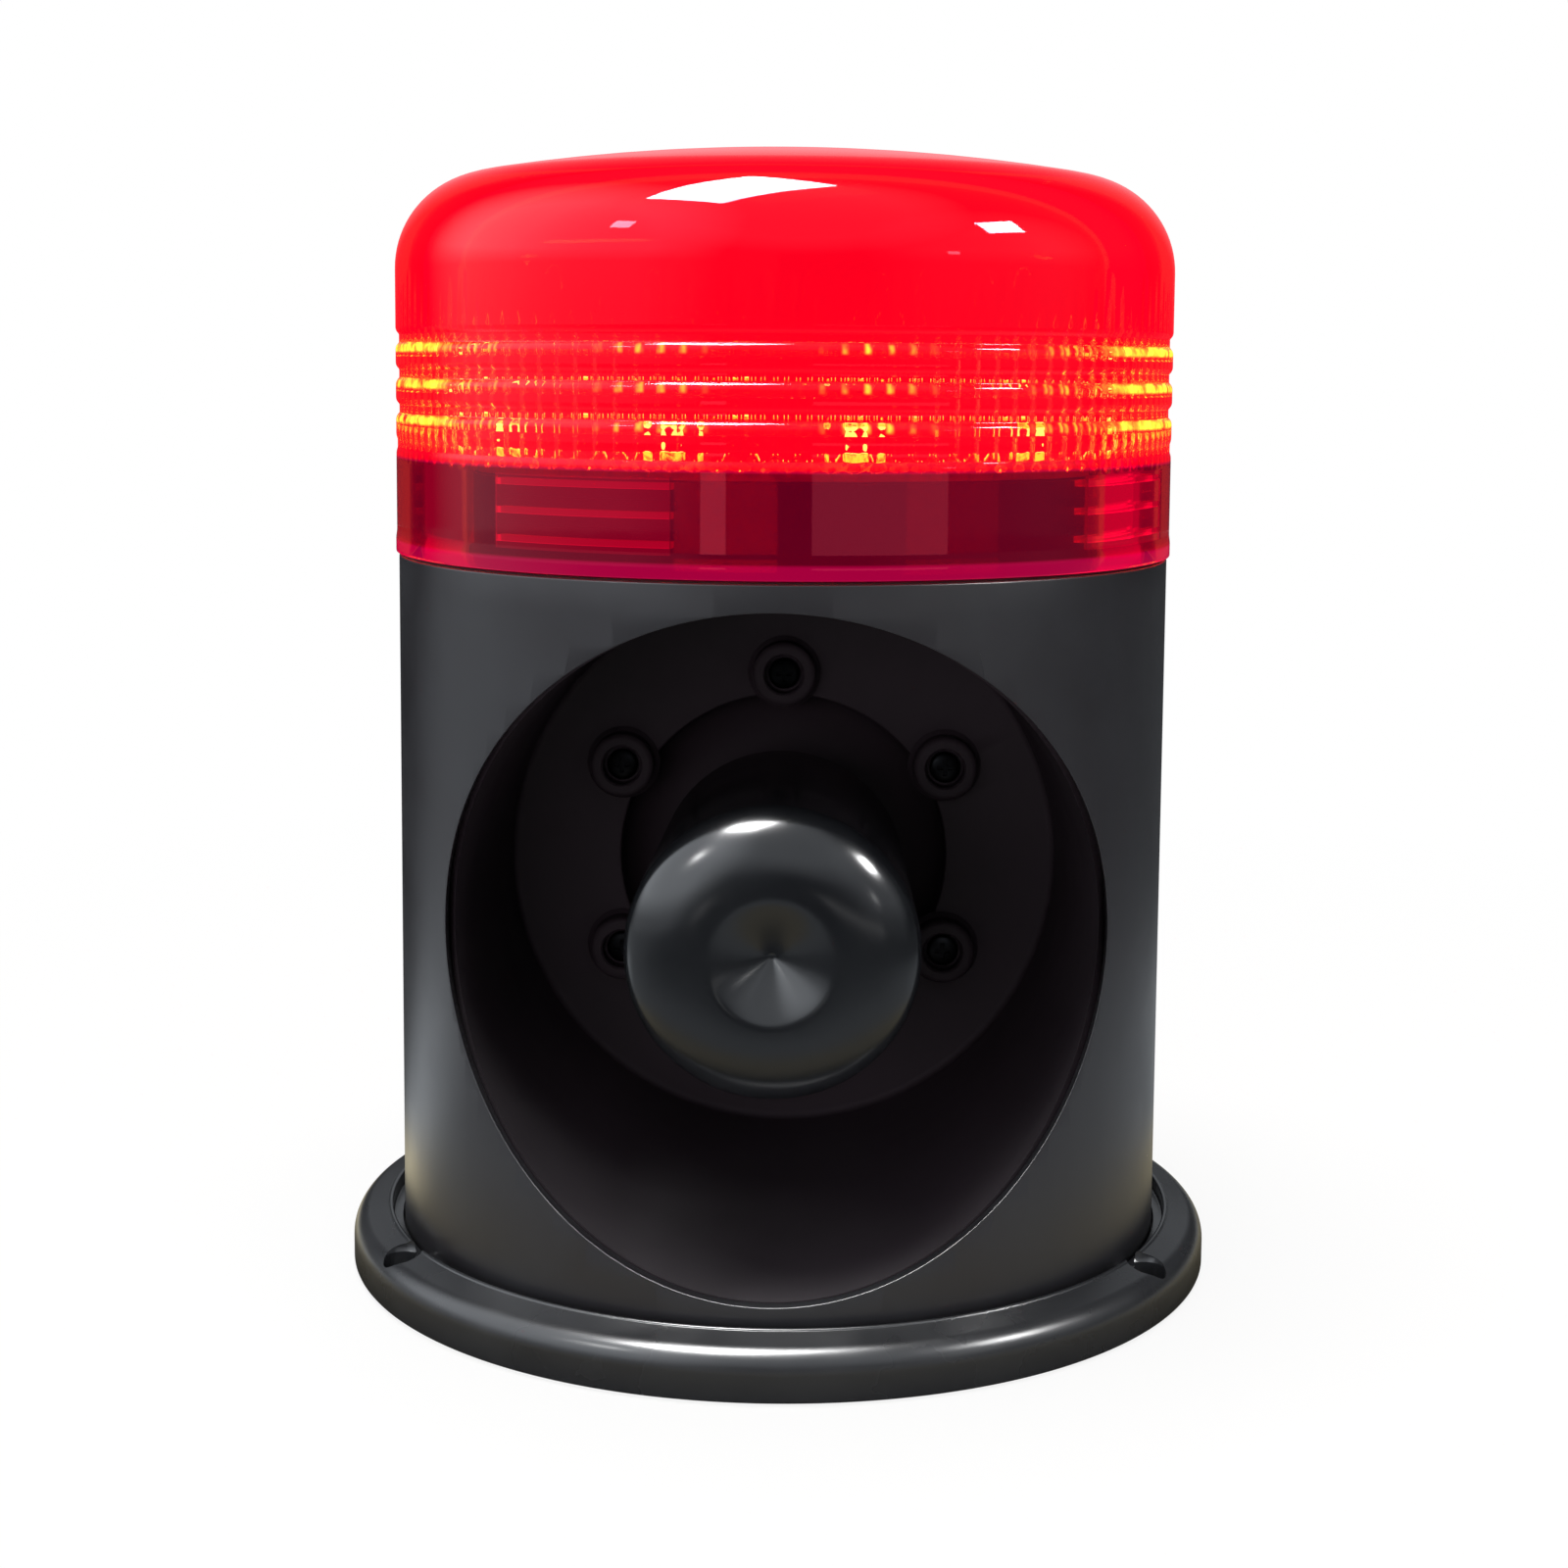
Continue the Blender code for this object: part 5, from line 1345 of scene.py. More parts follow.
@dataclass
class HornBulb:
    """The bulb: a cup with a dimpled nose that sits over the tone tube on three ribs."""

    radius: float = 27.75 * MM
    nose_back: float = -68.2 * MM
    nose_length: float = 10.0 * MM
    face_radius: float = 12.0 * MM
    dimple_depth: float = 6.6 * MM
    dimple_curve: float = 1.18
    skirt_radius: float = 26.2 * MM
    back: float = 8.3 * MM
    back_edge: float = 0.9 * MM
    wall: float = 2.5 * MM
    rib_count: int = 3
    rib_thickness: float = 2.4 * MM
    rib_inner: float = 13.3 * MM
    rib_edge: float = 0.3 * MM
    rib_ends: Point = (-39.7 * MM, -3.7 * MM)
    nose_steps: int = 28
    inside_steps: int = 7
    dimple_steps: int = 14
    steps: int = 192

    def build(self) -> None:
        """Models the bulb and dresses it."""
        front = self.nose_back - self.nose_length
        shares = [step / self.dimple_steps for step in range(self.dimple_steps)]
        rises = [self.dimple_depth * (1 - share) ** self.dimple_curve for share in shares]
        dimple = [(self.face_radius * share, front + rise) for share, rise in zip(shares, rises)]
        width = self.radius - self.face_radius
        nose = arc((self.face_radius, self.nose_back), (width, -self.nose_length), 90.0, 0.0, self.nose_steps)
        inner = self.skirt_radius - self.wall
        depth = self.wall + self.dimple_depth - self.nose_length
        inside = arc((0.0, self.nose_back), (inner, depth), 0.0, 90.0, self.inside_steps)
        skirt = rounded(
            (self.radius, self.nose_back),
            (self.skirt_radius, self.back, self.back_edge),
            (inner, self.back, self.back_edge),
            (inner, self.nose_back),
        )
        outline = [*dimple, *nose, *skirt[1:-1], *inside[:-1], (0.0, self.nose_back + depth)]
        bulb = turned("horn_bulb_moulding", outline, HORN_AXIS, self.steps)
        for index in range(self.rib_count):
            combine(bulb, self.rib(inner, math.tau * index / self.rib_count), Cut.ON)
        BULB_ABS.complete(bulb, "horn_bulb")

    def rib(self, inner: float, turn: float) -> Piece:
        """A rib between the tone tube and the cup.

        Args:
            inner: the cup's inner radius.
            turn: the rib's turn about the horn's axis.

        Returns:
            The rib, reaching a little into the cup's wall.
        """
        start, end = self.rib_ends
        reach = inner + self.wall / 4
        size = (self.rib_thickness, end - start, reach - self.rib_inner)
        made = block(size, (0.0, (start + end) / 2, (reach + self.rib_inner) / 2), self.rib_edge)
        made.data.transform(Matrix.Translation(HORN_AXIS.centre) @ Matrix.Rotation(turn, 4, "Y"))
        return made


@dataclass
class BeaconLens:
    """The red lens: a rim, a skirt with thread ridges inside, three bands, a plain wall and a shallow dome."""

    thread: ThreadSectors
    radius: float = 79.8 * MM
    wall: float = 2.6 * MM
    bottom: float = 148.3 * MM
    top: float = CAD_BOX[1].z
    rim_bead: float = 0.2 * MM
    rim_height: float = 2.8 * MM
    rim_slope: float = 1.6 * MM
    rim_edge: float = 0.3 * MM
    hold: float = 0.4 * MM
    shoulder: float = 19.4 * MM
    cap: float = 375 * MM
    dome_steps: tuple[int, int] = (20, 14)
    band_count: int = 3
    band_pitch: float = 7.05 * MM
    groove_start: float = 22.0 * MM
    groove_floor: float = 1.3 * MM
    flank_round: float = 1.8 * MM
    flank_root: float = 0.5 * MM
    flank_lean: float = 46.0
    flank_steps: int = 6
    foot_groove: float = 0.4
    pad_depth: float = 0.5 * MM
    pad_levels: Point = (152.4 * MM, 166.4 * MM)
    ridge_depth: float = 2.1 * MM
    prism_rise: float = 1.0 * MM
    prism_foot: float = 0.3 * MM
    prism_height: float = 1.6 * MM
    prism_tilts: Corner = (8.0, 22.0, 22.0)
    flute_count: int = 120
    flute_depth: float = 0.38 * MM
    flute_points: int = 6
    flute_levels: Point = (169.4 * MM, 193.0 * MM)
    flute_fade: float = 1.0 * MM
    gasket_radii: Point = (77.75 * MM, 78.55 * MM)
    gasket_levels: Point = (146.9 * MM, 148.0 * MM)
    gasket_edge: float = 0.25 * MM
    gasket_steps: int = 240

    @property
    def inner(self) -> float:
        """Radius of the inner wall."""
        return self.radius - self.wall

    def build(self) -> None:
        """Models the lens and its gasket and dresses them."""
        lens = turned("lens_moulding", self.outline(), UPRIGHT, self.flute_count * self.flute_points)
        self.shape_flutes(lens)
        self.thread.raise_from(lens, self.inner, [self.pad_levels], self.pad_depth)
        self.thread.raise_from(lens, self.inner - self.pad_depth, self.thread.ridges, self.ridge_depth)
        LENS_RED.complete(lens, "lens_dome", body=Body.LENS)
        inner, outer = self.gasket_radii
        low, high = self.gasket_levels
        corners = [(outer, high), (outer, low), (inner, low), (inner, high)]
        ring = rounded(*((*corner, self.gasket_edge) for corner in corners), steps=3)
        gasket = turned("lens_gasket_ring", ring, UPRIGHT, self.gasket_steps, ring=True)
        RUBBER.complete(gasket, "lens_gasket")

    def dome(self, inset: float, steps: int) -> list[Point]:
        """Points from the top of a dome down to the foot of its shoulder.

        Args:
            inset: how far it lies inside the outer face.
            steps: segments of the shoulder.

        Returns:
            The points.
        """
        wall, top = self.radius - inset, self.top - inset
        shoulder, cap = self.shoulder - inset, self.cap - inset
        lean = math.acos((wall - shoulder) / (cap - shoulder))
        middle = (wall - shoulder, top - cap + (cap - shoulder) * math.sin(lean))
        cap_arc = arc((0.0, top - cap), (cap, cap), 90.0, math.degrees(lean), steps // 2)
        shoulder_arc = arc(middle, (shoulder, shoulder), math.degrees(lean), 0.0, steps)
        return [(0.0, top), *cap_arc[1:], *shoulder_arc[1:]]

    def outline(self) -> list[Point]:
        """The lens in section, with points that hold its plain walls flat.

        Returns:
            Its outline, down the outside and up the inside.
        """
        outer_steps, inner_steps = self.dome_steps
        dome = self.dome(0.0, outer_steps)
        grooves = self.grooves()
        rim_radius = self.radius + self.rim_bead
        rim_top = self.bottom + self.rim_height
        skirt_foot = rim_top + self.rim_slope
        rim = rounded(
            (self.radius, skirt_foot),
            (rim_radius, rim_top),
            (rim_radius, self.bottom, self.rim_edge),
            (self.inner, self.bottom, self.rim_edge),
            (self.inner, self.flute_levels[0]),
            steps=3,
        )
        walls = (dome[-1][1] - self.hold, grooves[0][1] + self.hold)
        skirts = (grooves[-1][1] - self.hold, skirt_foot + self.hold)
        ridges = sorted(level for pair in (self.pad_levels, *self.thread.ridges) for level in pair)
        low, high = self.flute_levels
        return [
            *dome,
            *((self.radius, level) for level in walls),
            *grooves,
            *((self.radius, level) for level in skirts),
            *rim[:-1],
            *((self.inner, level) for level in (*ridges, low - self.flute_fade, low)),
            *self.prisms(),
            *((self.inner, level) for level in (high, high + self.flute_fade)),
            *reversed(self.dome(self.wall, inner_steps)),
        ]

    def grooves(self) -> list[Point]:
        """The rounded grooves that part the wall into raised bands.

        Returns:
            Their points, from the highest down.
        """
        lean = self.flank_lean
        reach, root_reach = (self.flank_round, self.flank_round), (-self.flank_root, -self.flank_root)
        crest = arc((-self.flank_round, 0.0), reach, 0.0, lean, self.flank_steps)
        down, along = crest[-1]
        turn = math.radians(lean)
        centre = (down + self.flank_root * math.cos(turn), along + self.flank_root * math.sin(turn))
        flank = [*crest, *arc(centre, root_reach, lean, 0.0, self.flank_steps)[1:]]
        half = flank[-1][1] + self.groove_floor / 2
        points = []
        for groove in range(self.band_count, -1, -1):
            middle = self.bottom + self.groove_start + self.band_pitch * groove
            share = 1.0 if groove > 0 else self.foot_groove
            points += [(self.radius + share * depth, middle + half - run) for depth, run in flank]
            points += [(self.radius + share * depth, middle - half + run) for depth, run in reversed(flank)]
        return points

    def prisms(self) -> list[Point]:
        """Small prism rings on the inner wall, one behind each band, that turn the lamps' light forward.

        Returns:
            Their points, from the lowest up.
        """
        points = []
        for ring, tilt in enumerate(self.prism_tilts):
            middle = self.bottom + self.groove_start + self.band_pitch * (ring + 0.5) + self.prism_rise
            low = middle - self.prism_height / 2
            depth = self.prism_height * math.tan(math.radians(tilt))
            points += [(self.inner, low - self.prism_foot), (self.inner - depth, low)]
            points.append((self.inner, low + self.prism_height))
        return points

    def shape_flutes(self, lens: Piece) -> None:
        """Waves the inner wall behind the bands into upright flutes.

        Args:
            lens: the lens.
        """
        low, high = self.flute_levels
        deepest = self.inner - 2 * self.prism_height
        column = math.tau / (self.flute_count * self.flute_points)
        columns: dict[int, list] = {group: [] for group in range(self.flute_points // 2 + 1)}
        with editing(lens) as mesh:
            for point in mesh.verts:
                if deepest < point.co.xy.length < self.inner + WELD and low - WELD < point.co.z < high + WELD:
                    index = round(math.atan2(point.co.y, point.co.x) / column) % self.flute_points
                    columns[min(index, self.flute_points - index)].append(point)
            for group, points in columns.items():
                bpy.ops.mesh.select_all(action="DESELECT")
                for point in points:
                    point.select_set(True)
                scale = 1.0 + math.cos(math.tau * group / self.flute_points) * self.flute_depth / self.inner
                bpy.ops.transform.resize(value=(scale, scale, 1.0), center_override=(0.0, 0.0, 0.0))


@dataclass
class LampRing:
    """The lamps round the edge of the round board, each a resin body with a cap, on a white foot."""

    count: int = 12
    first: float = -17.0
    circle: float = 66.6 * MM
    seat: float = 167.7 * MM
    width: float = 6.4 * MM
    front: float = 3.4 * MM
    back: float = 1.7 * MM
    height: float = 6.2 * MM
    foot: float = 0.9 * MM
    foot_edge: float = 0.15 * MM
    edge: float = 0.6 * MM
    body_height: float = 4.3 * MM
    body_corners: int = 32
    cap_radius: float = 2.5 * MM
    cap_rings: int = 8
    cap_steps: int = 24

    def build(self) -> None:
        """Models one lamp, and copies it round the board."""
        lamp = joined([self.body(), self.cap(), self.base()])
        for index, (x, y) in enumerate(around(self.count, self.first, self.circle)):
            name = f"led_{index + 1:02d}"
            move = Matrix.Translation((x, y, self.seat)) @ Matrix.Rotation(math.atan2(x, -y), 4, "Z")
            LED_RESIN.settle(copied(lamp, f"{name}_lamp", move), name)
        bpy.data.objects.remove(lamp)

    def body(self) -> Piece:
        """The resin body: the front half of a bar, drawn back and rounded on top.

        Returns:
            The body.
        """
        lamp = rod(self.width / 2, self.foot, self.body_height, UPRIGHT, self.body_corners)
        lamp.scale.y = self.front / (self.width / 2)
        bpy.ops.object.transform_apply(location=True, rotation=True, scale=True)
        with editing(lamp, "FACE") as mesh:
            bpy.ops.mesh.select_all(action="SELECT")
            bpy.ops.mesh.bisect(plane_co=(0, 0, 0), plane_no=(0, 1, 0), use_fill=True, clear_outer=True)
            bpy.ops.mesh.select_all(action="DESELECT")
            pick(lamp, mesh.faces, lambda face: face.normal.y > SQUARE_ON)
            bpy.ops.mesh.extrude_region_move(TRANSFORM_OT_translate={"value": (0.0, self.back, 0.0)})
        with editing(lamp, "EDGE") as mesh:
            top = self.body_height - WELD
            pick(lamp, mesh.edges, lambda edge: all(point.co.z > top for point in edge.verts))
            bpy.ops.mesh.bevel(offset=self.edge, segments=4, affect="EDGES")
            close_up()
        LED_RESIN.dress(lamp)
        return lamp

    def cap(self) -> Piece:
        """The rounded cap over the chip, sunk a little into the body.

        Returns:
            The cap.
        """
        rise = self.height - self.body_height
        crown = arc((0.0, self.body_height), (self.cap_radius, rise), 90.0, 0.0, self.cap_rings)
        sunk = self.body_height - rise / 4
        axis = upright_at(0.0, (self.back - self.front) / 2)
        cap = turned("lamp_cap", [*crown, (self.cap_radius, sunk), (0.0, sunk)], axis, self.cap_steps)
        LED_RESIN.dress(cap)
        return cap

    def base(self) -> Piece:
        """The white foot under the resin.

        Returns:
            The foot.
        """
        middle = (0.0, (self.back - self.front) / 2, self.foot / 2)
        foot = block((self.width, self.front + self.back, self.foot), middle, self.foot_edge)
        NYLON_WHITE.dress(foot)
        return foot


@dataclass
class Screws:
    """Pan-head screws with a cross recess, modelled once for each group and copied to their places."""

    head_radius: float = 3.4 * MM
    head_height: float = 2.0 * MM
    head_wall: float = 1.1 * MM
    head_rings: int = 8
    shank_radius: float = 1.4 * MM
    thread_depth: float = 0.25 * MM
    thread_pitch: float = 1.0 * MM
    recess_width: float = 0.95 * MM
    recess_span: float = 3.6 * MM
    recess_depth: float = 1.3 * MM
    recess_edge: float = 0.1 * MM
    long: float = 11.0 * MM
    short: float = 5.0 * MM
    steps: int = 32

    def build(self) -> None:
        """Copies the screws to the places of their CAD nodes."""
        groups = [
            ("base_screw", 4, self.long, Facing.DOWN, ZINC_STEEL),
            ("bell_screw", 4, self.long, Facing.UP, ZINC_STEEL),
            ("horn_screw", 6, self.long, Facing.FORWARD, BLACK_STEEL),
            ("led_board_screw", 3, self.short, Facing.UP, ZINC_STEEL),
            ("main_board_screw", 2, self.short, Facing.UP, ZINC_STEEL),
        ]
        for group, count, length, facing, finish in groups:
            screw = self.screw(length)
            finish.dress(screw)
            for index in range(count):
                node = f"{group}_{index + 1}"
                finish.settle(copied(screw, f"{node}_turned", self.place(node, facing)), node)
            bpy.data.objects.remove(screw)

    def place(self, node: str, facing: Facing) -> Matrix:
        """Where a screw goes: the seat of its head, turned the way it faces.

        Args:
            node: the CAD screw.
            facing: the way its head points.

        Returns:
            The move from a screw that points up at the origin.
        """
        low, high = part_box(node)
        middle = (low + high) / 2
        seats = {
            Facing.UP: Vector((middle.x, middle.y, high.z - self.head_height)),
            Facing.DOWN: Vector((middle.x, middle.y, low.z + self.head_height)),
            Facing.FORWARD: Vector((middle.x, low.y + self.head_height, middle.z)),
        }
        return Matrix.Translation(seats[facing]) @ Matrix.Rotation(facing.value, 4, "X")

    def screw(self, length: float) -> Piece:
        """A screw that points up, with the seat of its head at the origin.

        Args:
            length: its length under the head.

        Returns:
            The screw.
        """
        root = self.shank_radius - self.thread_depth
        thread = []
        for turn in range(int((length - 2 * self.shank_radius) / self.thread_pitch)):
            level = -self.shank_radius / 2 - self.thread_pitch * turn
            thread += [(root, level), (self.shank_radius, level - self.thread_pitch / 2)]
        crown = (self.head_radius, self.head_height - self.head_wall)
        head = arc((0.0, self.head_wall), crown, 90.0, 0.0, self.head_rings)
        under = [(self.head_radius, 0.0), (root, 0.0)]
        tip = [(root, self.shank_radius - length), (0.0, -length)]
        made = turned("screw", [*head, *under, *thread, *tip], UPRIGHT, self.steps)
        middle = (0.0, 0.0, self.head_height - self.recess_depth / 2 + MM / 2)
        for size in ((self.recess_span, self.recess_width), (self.recess_width, self.recess_span)):
            combine(made, block((*size, self.recess_depth + MM), middle, self.recess_edge))
        return made


@dataclass
class CableGrommet:
    """The rubber grommet in the back of the housing."""

    flange: float = 8.8 * MM
    neck: float = 6.2 * MM
    bore: float = 3.4 * MM
    lip: float = 2.0 * MM
    outside: float = 79.7 * MM
    inside: float = 76.095 * MM
    edge: float = 0.8 * MM
    front_edge: float = 1.28 * MM
    fine_edge: float = 0.3 * MM
    steps: int = 72

    def build(self) -> None:
        """Models the grommet and dresses it."""
        outer = self.outside + self.lip
        inner = self.inside - self.lip
        outline = rounded(
            (self.flange, outer, self.front_edge),
            (self.flange, self.outside, self.fine_edge),
            (self.neck, self.outside),
            (self.neck, self.inside),
            (self.flange, self.inside, self.fine_edge),
            (self.flange, inner, self.edge),
            (self.bore, inner, self.edge),
            (self.bore, outer, self.edge),
        )
        grommet = turned("cable_grommet_rubber", outline, CABLE_AXIS, self.steps, ring=True)
        RUBBER.complete(grommet, "cable_grommet")


@dataclass
class HiddenWorks:
    """The driver, the boards and what stands on them, which keep their CAD shapes."""

    finishes: tuple[tuple[Finish, tuple[str, ...]], ...] = (
        (BLACK_STEEL, ("driver_top_plate", "driver_yoke", "audio_transformer")),
        (FERRITE, ("driver_magnet",)),
        (PHENOLIC, ("diaphragm",)),
        (COPPER, ("voice_coil",)),
        (LEAD_RED, ("speaker_lead_red",)),
        (LEAD_BLACK, ("speaker_lead_black",)),
        (GREEN_BOARD, ("main_board",)),
        (TERMINAL_GREEN, ("terminal_block",)),
        (CAN_SLEEVE, ("capacitor_1", "capacitor_2")),
        (ALUMINIUM, ("amplifier_heatsink",)),
        (POT_BLUE, ("volume_pot",)),
        (NYLON_WHITE, ("volume_knob",)),
        (WHITE_BOARD, ("led_board",)),
        (BRASS, ("led_standoff_1", "led_standoff_2", "led_standoff_3")),
    )

    def build(self) -> None:
        """Dresses the CAD nodes that stay."""
        for finish, nodes in self.finishes:
            for node in nodes:
                finish.dress(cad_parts[node])
                LOG.info("%s: dressed in %s", node, finish.name)


# Studio


def towards(tree: Tree, side: Corner, ends: Point, levels: Point) -> Socket:
    """A brightness that changes towards one side of the studio.

    Args:
        tree: the node tree.
        side: the side.
        ends: where the change starts and ends, as the cosine of the angle from the side.
        levels: brightness where it starts and ends.

    Returns:
        The brightness.
    """
    place = add_node(tree, "TexCoord").outputs["Object"]
    sight = add_node(tree, "VectorMath", {0: place}, operation="NORMALIZE").outputs[0]
    share = add_node(tree, "VectorMath", {0: sight, 1: side}, operation="DOT_PRODUCT").outputs["Value"]
    return add_node(tree, "MapRange", {"Value": share, **between(ends, levels)}).outputs[0]


def away(tree: Tree, ends: Point, levels: Point = (0.0, 1.0)) -> Socket:
    """A level that changes with the distance from the object.

    Args:
        tree: the node tree.
        ends: distances where the change starts and ends.
        levels: levels where it starts and ends.

    Returns:
        The level.
    """
    place = add_node(tree, "TexCoord").outputs["Object"]
    distance = add_node(tree, "VectorMath", {0: place}, operation="LENGTH").outputs["Value"]
    return add_node(tree, "MapRange", {"Value": distance, **between(ends, levels)}).outputs[0]


def seen(tree: Tree) -> Socket:
    """Tells the rays that show the background: from the camera, off gloss or through glass.

    Args:
        tree: the node tree.

    Returns:
        1 for these and 0 for others.
    """
    path = add_node(tree, "LightPath").outputs
    rays = {0: path["Is Camera Ray"], 1: path["Is Glossy Ray"]}
    both = add_node(tree, "Math", rays, operation="ADD").outputs[0]
    through = {0: both, 1: path["Is Transmission Ray"]}
    return add_node(tree, "Math", through, operation="ADD", use_clamp=True).outputs[0]


@dataclass(frozen=True)
class Lamp:
    """A soft lamp, with its place, width and power in watts."""

    name: str
    place: Corner
    size: float
    power: float


@dataclass(frozen=True)
class Panel:
    """A light panel that only reflections see, with its middle, its width and height and its brightness."""

    name: str
    place: Corner
    size: Point
    radiance: float


@dataclass(frozen=True)
class Patch:
    """A soft patch of brightness that only reflections see.

    It lies some degrees to the right of the front and above the floor, and fades between two angles from its
    middle.
    """

    azimuth: float
    height: float
    level: float
    reach: Point

    def light(self, tree: Tree, least: float = 0.0) -> Socket:
        """Its brightness round the object.

        Args:
            tree: the node tree.
            least: the brightness away from it.

        Returns:
            The brightness.
        """
        turn, rise = math.radians(self.azimuth), math.radians(self.height)
        side = (math.sin(turn) * math.cos(rise), -math.cos(turn) * math.cos(rise), math.sin(rise))
        full, end = (math.cos(math.radians(angle)) for angle in self.reach)
        return towards(tree, side, (end, full), (least, self.level))


@dataclass
class Studio:
    """A white room with soft lamps, panels that give the highlights, and the photograph's viewpoint."""

    eye: Corner = (0.0107, -0.533, 0.18734)
    yaw: float = 1.15
    tilt: float = 6.21
    roll: float = 0.41
    focal: float = 58.61
    sensor: float = 36.0
    clip: float = 10 * MM
    shift: Point = (0.00106, -0.0924)
    target: Corner = (0.0, 0.0, 0.12)
    room_level: float = 0.38
    floor_size: float = 6.0
    floor_drop: float = 0.3 * MM
    floor_colour: str = "#f4f4f2"
    shadow_share: float = 0.14
    shadow_reach: Point = (0.22, 0.55)
    screen_radius: float = 2.4
    screen_corners: int = 96
    screen_height: float = 2.6
    screen_level: float = 0.1
    screen_colour: str = "#f2f8ff"
    screen_foot: Point = (0.10, 0.28)
    screen_shares: Point = (0.3, 1.0)
    patches: tuple[Patch, ...] = (
        Patch(-70.0, 22.0, 2.9, (32.0, 53.0)),
        Patch(5.0, 52.0, 1.1, (26.0, 41.0)),
        Patch(62.0, 14.0, 0.7, (18.0, 38.0)),
        Patch(180.0, 30.0, 0.45, (16.0, 32.0)),
    )
    near_lit: Patch = Patch(-118.0, 0.0, 1.45, (8.0, 30.0))
    far_lit: Patch = Patch(-105.0, 0.0, 0.55, (15.0, 75.0))
    lit_least: Point = (0.50, 0.10)
    dark_back: Patch = Patch(-160.0, 0.0, 0.02, (30.0, 50.0))
    dark_front: Patch = Patch(-5.0, 0.0, 0.5, (35.0, 60.0))
    front_ends: Point = (0.18, 0.26)
    near_ends: Point = (0.24, 0.42)
    painted_contact_shadow_ends: Point = (0.088, 0.115)
    warm_ends: Point = (0.125, 0.155)
    warm_colour: str = "#fff2ca"
    cool_colour: str = "#f0f8ff"
    lamps: tuple[Lamp, ...] = (
        Lamp("key_lamp", (-0.4, -1.5, 0.10), 0.8, 14.0),
        Lamp("fill_lamp", (1.2, -1.0, 0.22), 0.8, 6.0),
        Lamp("top_lamp", (-0.1, -0.1, 1.9), 0.9, 28.0),
    )
    panels: tuple[Panel, ...] = (
        Panel("overhead_panel", (-0.205, -0.215, 1.43), (0.44, 0.74), 115.0),
        Panel("right_panel", (1.155, -0.42, 0.96), (0.30, 0.24), 95.0),
        Panel("left_panel", (-0.914, -0.778, 1.00), (0.14, 0.16), 45.0),
        Panel("side_panel", (0.937, -0.844, 0.41), (0.08, 0.05), 14.0),
        Panel("left_card", (-0.40, -1.24, 0.084), (0.16, 0.066), 1.9),
        Panel("right_card", (0.61, -1.15, 0.084), (0.90, 0.066), 1.35),
    )

    def build(self) -> None:
        """Sets up the camera, lamps, panels, mat, screen, floor and room."""
        self.camera()
        for lamp in self.lamps:
            self.lamp(lamp)
        for panel in self.panels:
            card = primitive(bpy.ops.mesh.primitive_plane_add, panel.name, size=1.0)
            card.data.transform(self.aim(panel.place) @ Matrix.Diagonal((*panel.size, 1.0, 1.0)))
            self.reflect_only(card, lambda tree: panel.radiance, lambda tree: linear(WHITE))
        self.mat()
        self.screen()
        self.floor()
        self.room()
        bpy.context.scene.view_settings.view_transform = "Standard"

    def camera(self) -> None:
        """Adds the camera at the photograph's viewpoint."""
        bpy.ops.object.camera_add()
        camera = bpy.context.object
        camera.data.lens = self.focal
        camera.data.sensor_width = self.sensor
        camera.data.shift_x, camera.data.shift_y = self.shift
        camera.data.clip_start = self.clip
        turns = [(self.yaw, "Z"), (90.0 - self.tilt, "X"), (self.roll, "Z")]
        faced, tilted, rolled = (Matrix.Rotation(math.radians(angle), 4, axis) for angle, axis in turns)
        camera.matrix_world = Matrix.Translation(self.eye) @ faced @ tilted @ rolled
        bpy.context.scene.camera = camera

    def aim(self, place: Corner) -> Matrix:
        """A place that looks at the object."""
        sight = Vector(self.target) - Vector(place)
        return Matrix.Translation(place) @ sight.to_track_quat("-Z", "Y").to_matrix().to_4x4()

    def lamp(self, lamp: Lamp) -> None:
        """Adds a soft lamp that reflections don't see.

        Args:
            lamp: the lamp.
        """
        bpy.ops.object.light_add(type="AREA")
        made = bpy.context.object
        made.name = lamp.name
        made.data.size = lamp.size
        made.data.energy = lamp.power
        made.matrix_world = self.aim(lamp.place)
        made.visible_glossy = False

    def reflect_only(self, card: Piece, strength: Callable, colour: Callable) -> None:
        """Makes a card glow, for reflections alone.

        Args:
            card: the card.
            strength: gives its brightness, for its node tree.
            colour: gives its colour, for its node tree.
        """
        light = bpy.data.materials.new(card.name)
        tree = bare_tree(light)
        glow = add_node(tree, "Emission", {"Color": colour(tree), "Strength": strength(tree)})
        add_node(tree, "OutputMaterial", {"Surface": glow.outputs[0]})
        card.data.materials.append(light)
        card.visible_camera = card.visible_diffuse = False
        card.visible_transmission = card.visible_shadow = False

    def screen(self) -> None:
        """Adds the dark round screen that the reflections see, with its pale patches."""
        sizes = {"vertices": self.screen_corners, "radius": self.screen_radius, "depth": self.screen_height}
        card = primitive(bpy.ops.mesh.primitive_cylinder_add, "studio_screen", **sizes)
        card.data.transform(Matrix.Translation((0.0, 0.0, self.screen_height / 2)))
        with editing(card, "FACE") as mesh:
            pick(card, mesh.faces, lambda face: face.normal.z < -SQUARE_ON)
            bpy.ops.mesh.delete(type="FACE")
        self.reflect_only(card, self.screen_light, lambda tree: linear(self.screen_colour))

    def screen_light(self, tree: Tree) -> Socket:
        """The screen's brightness, less at its foot.

        Args:
            tree: the node tree.

        Returns:
            The brightness.
        """
        level = self.screen_level
        for patch in self.patches:
            level = add_node(tree, "Math", {0: patch.light(tree), 1: level}, operation="ADD").outputs[0]
        foot = towards(tree, UPRIGHT.direction, self.screen_foot, self.screen_shares)
        return add_node(tree, "Math", {0: level, 1: foot}, operation="MULTIPLY").outputs[0]

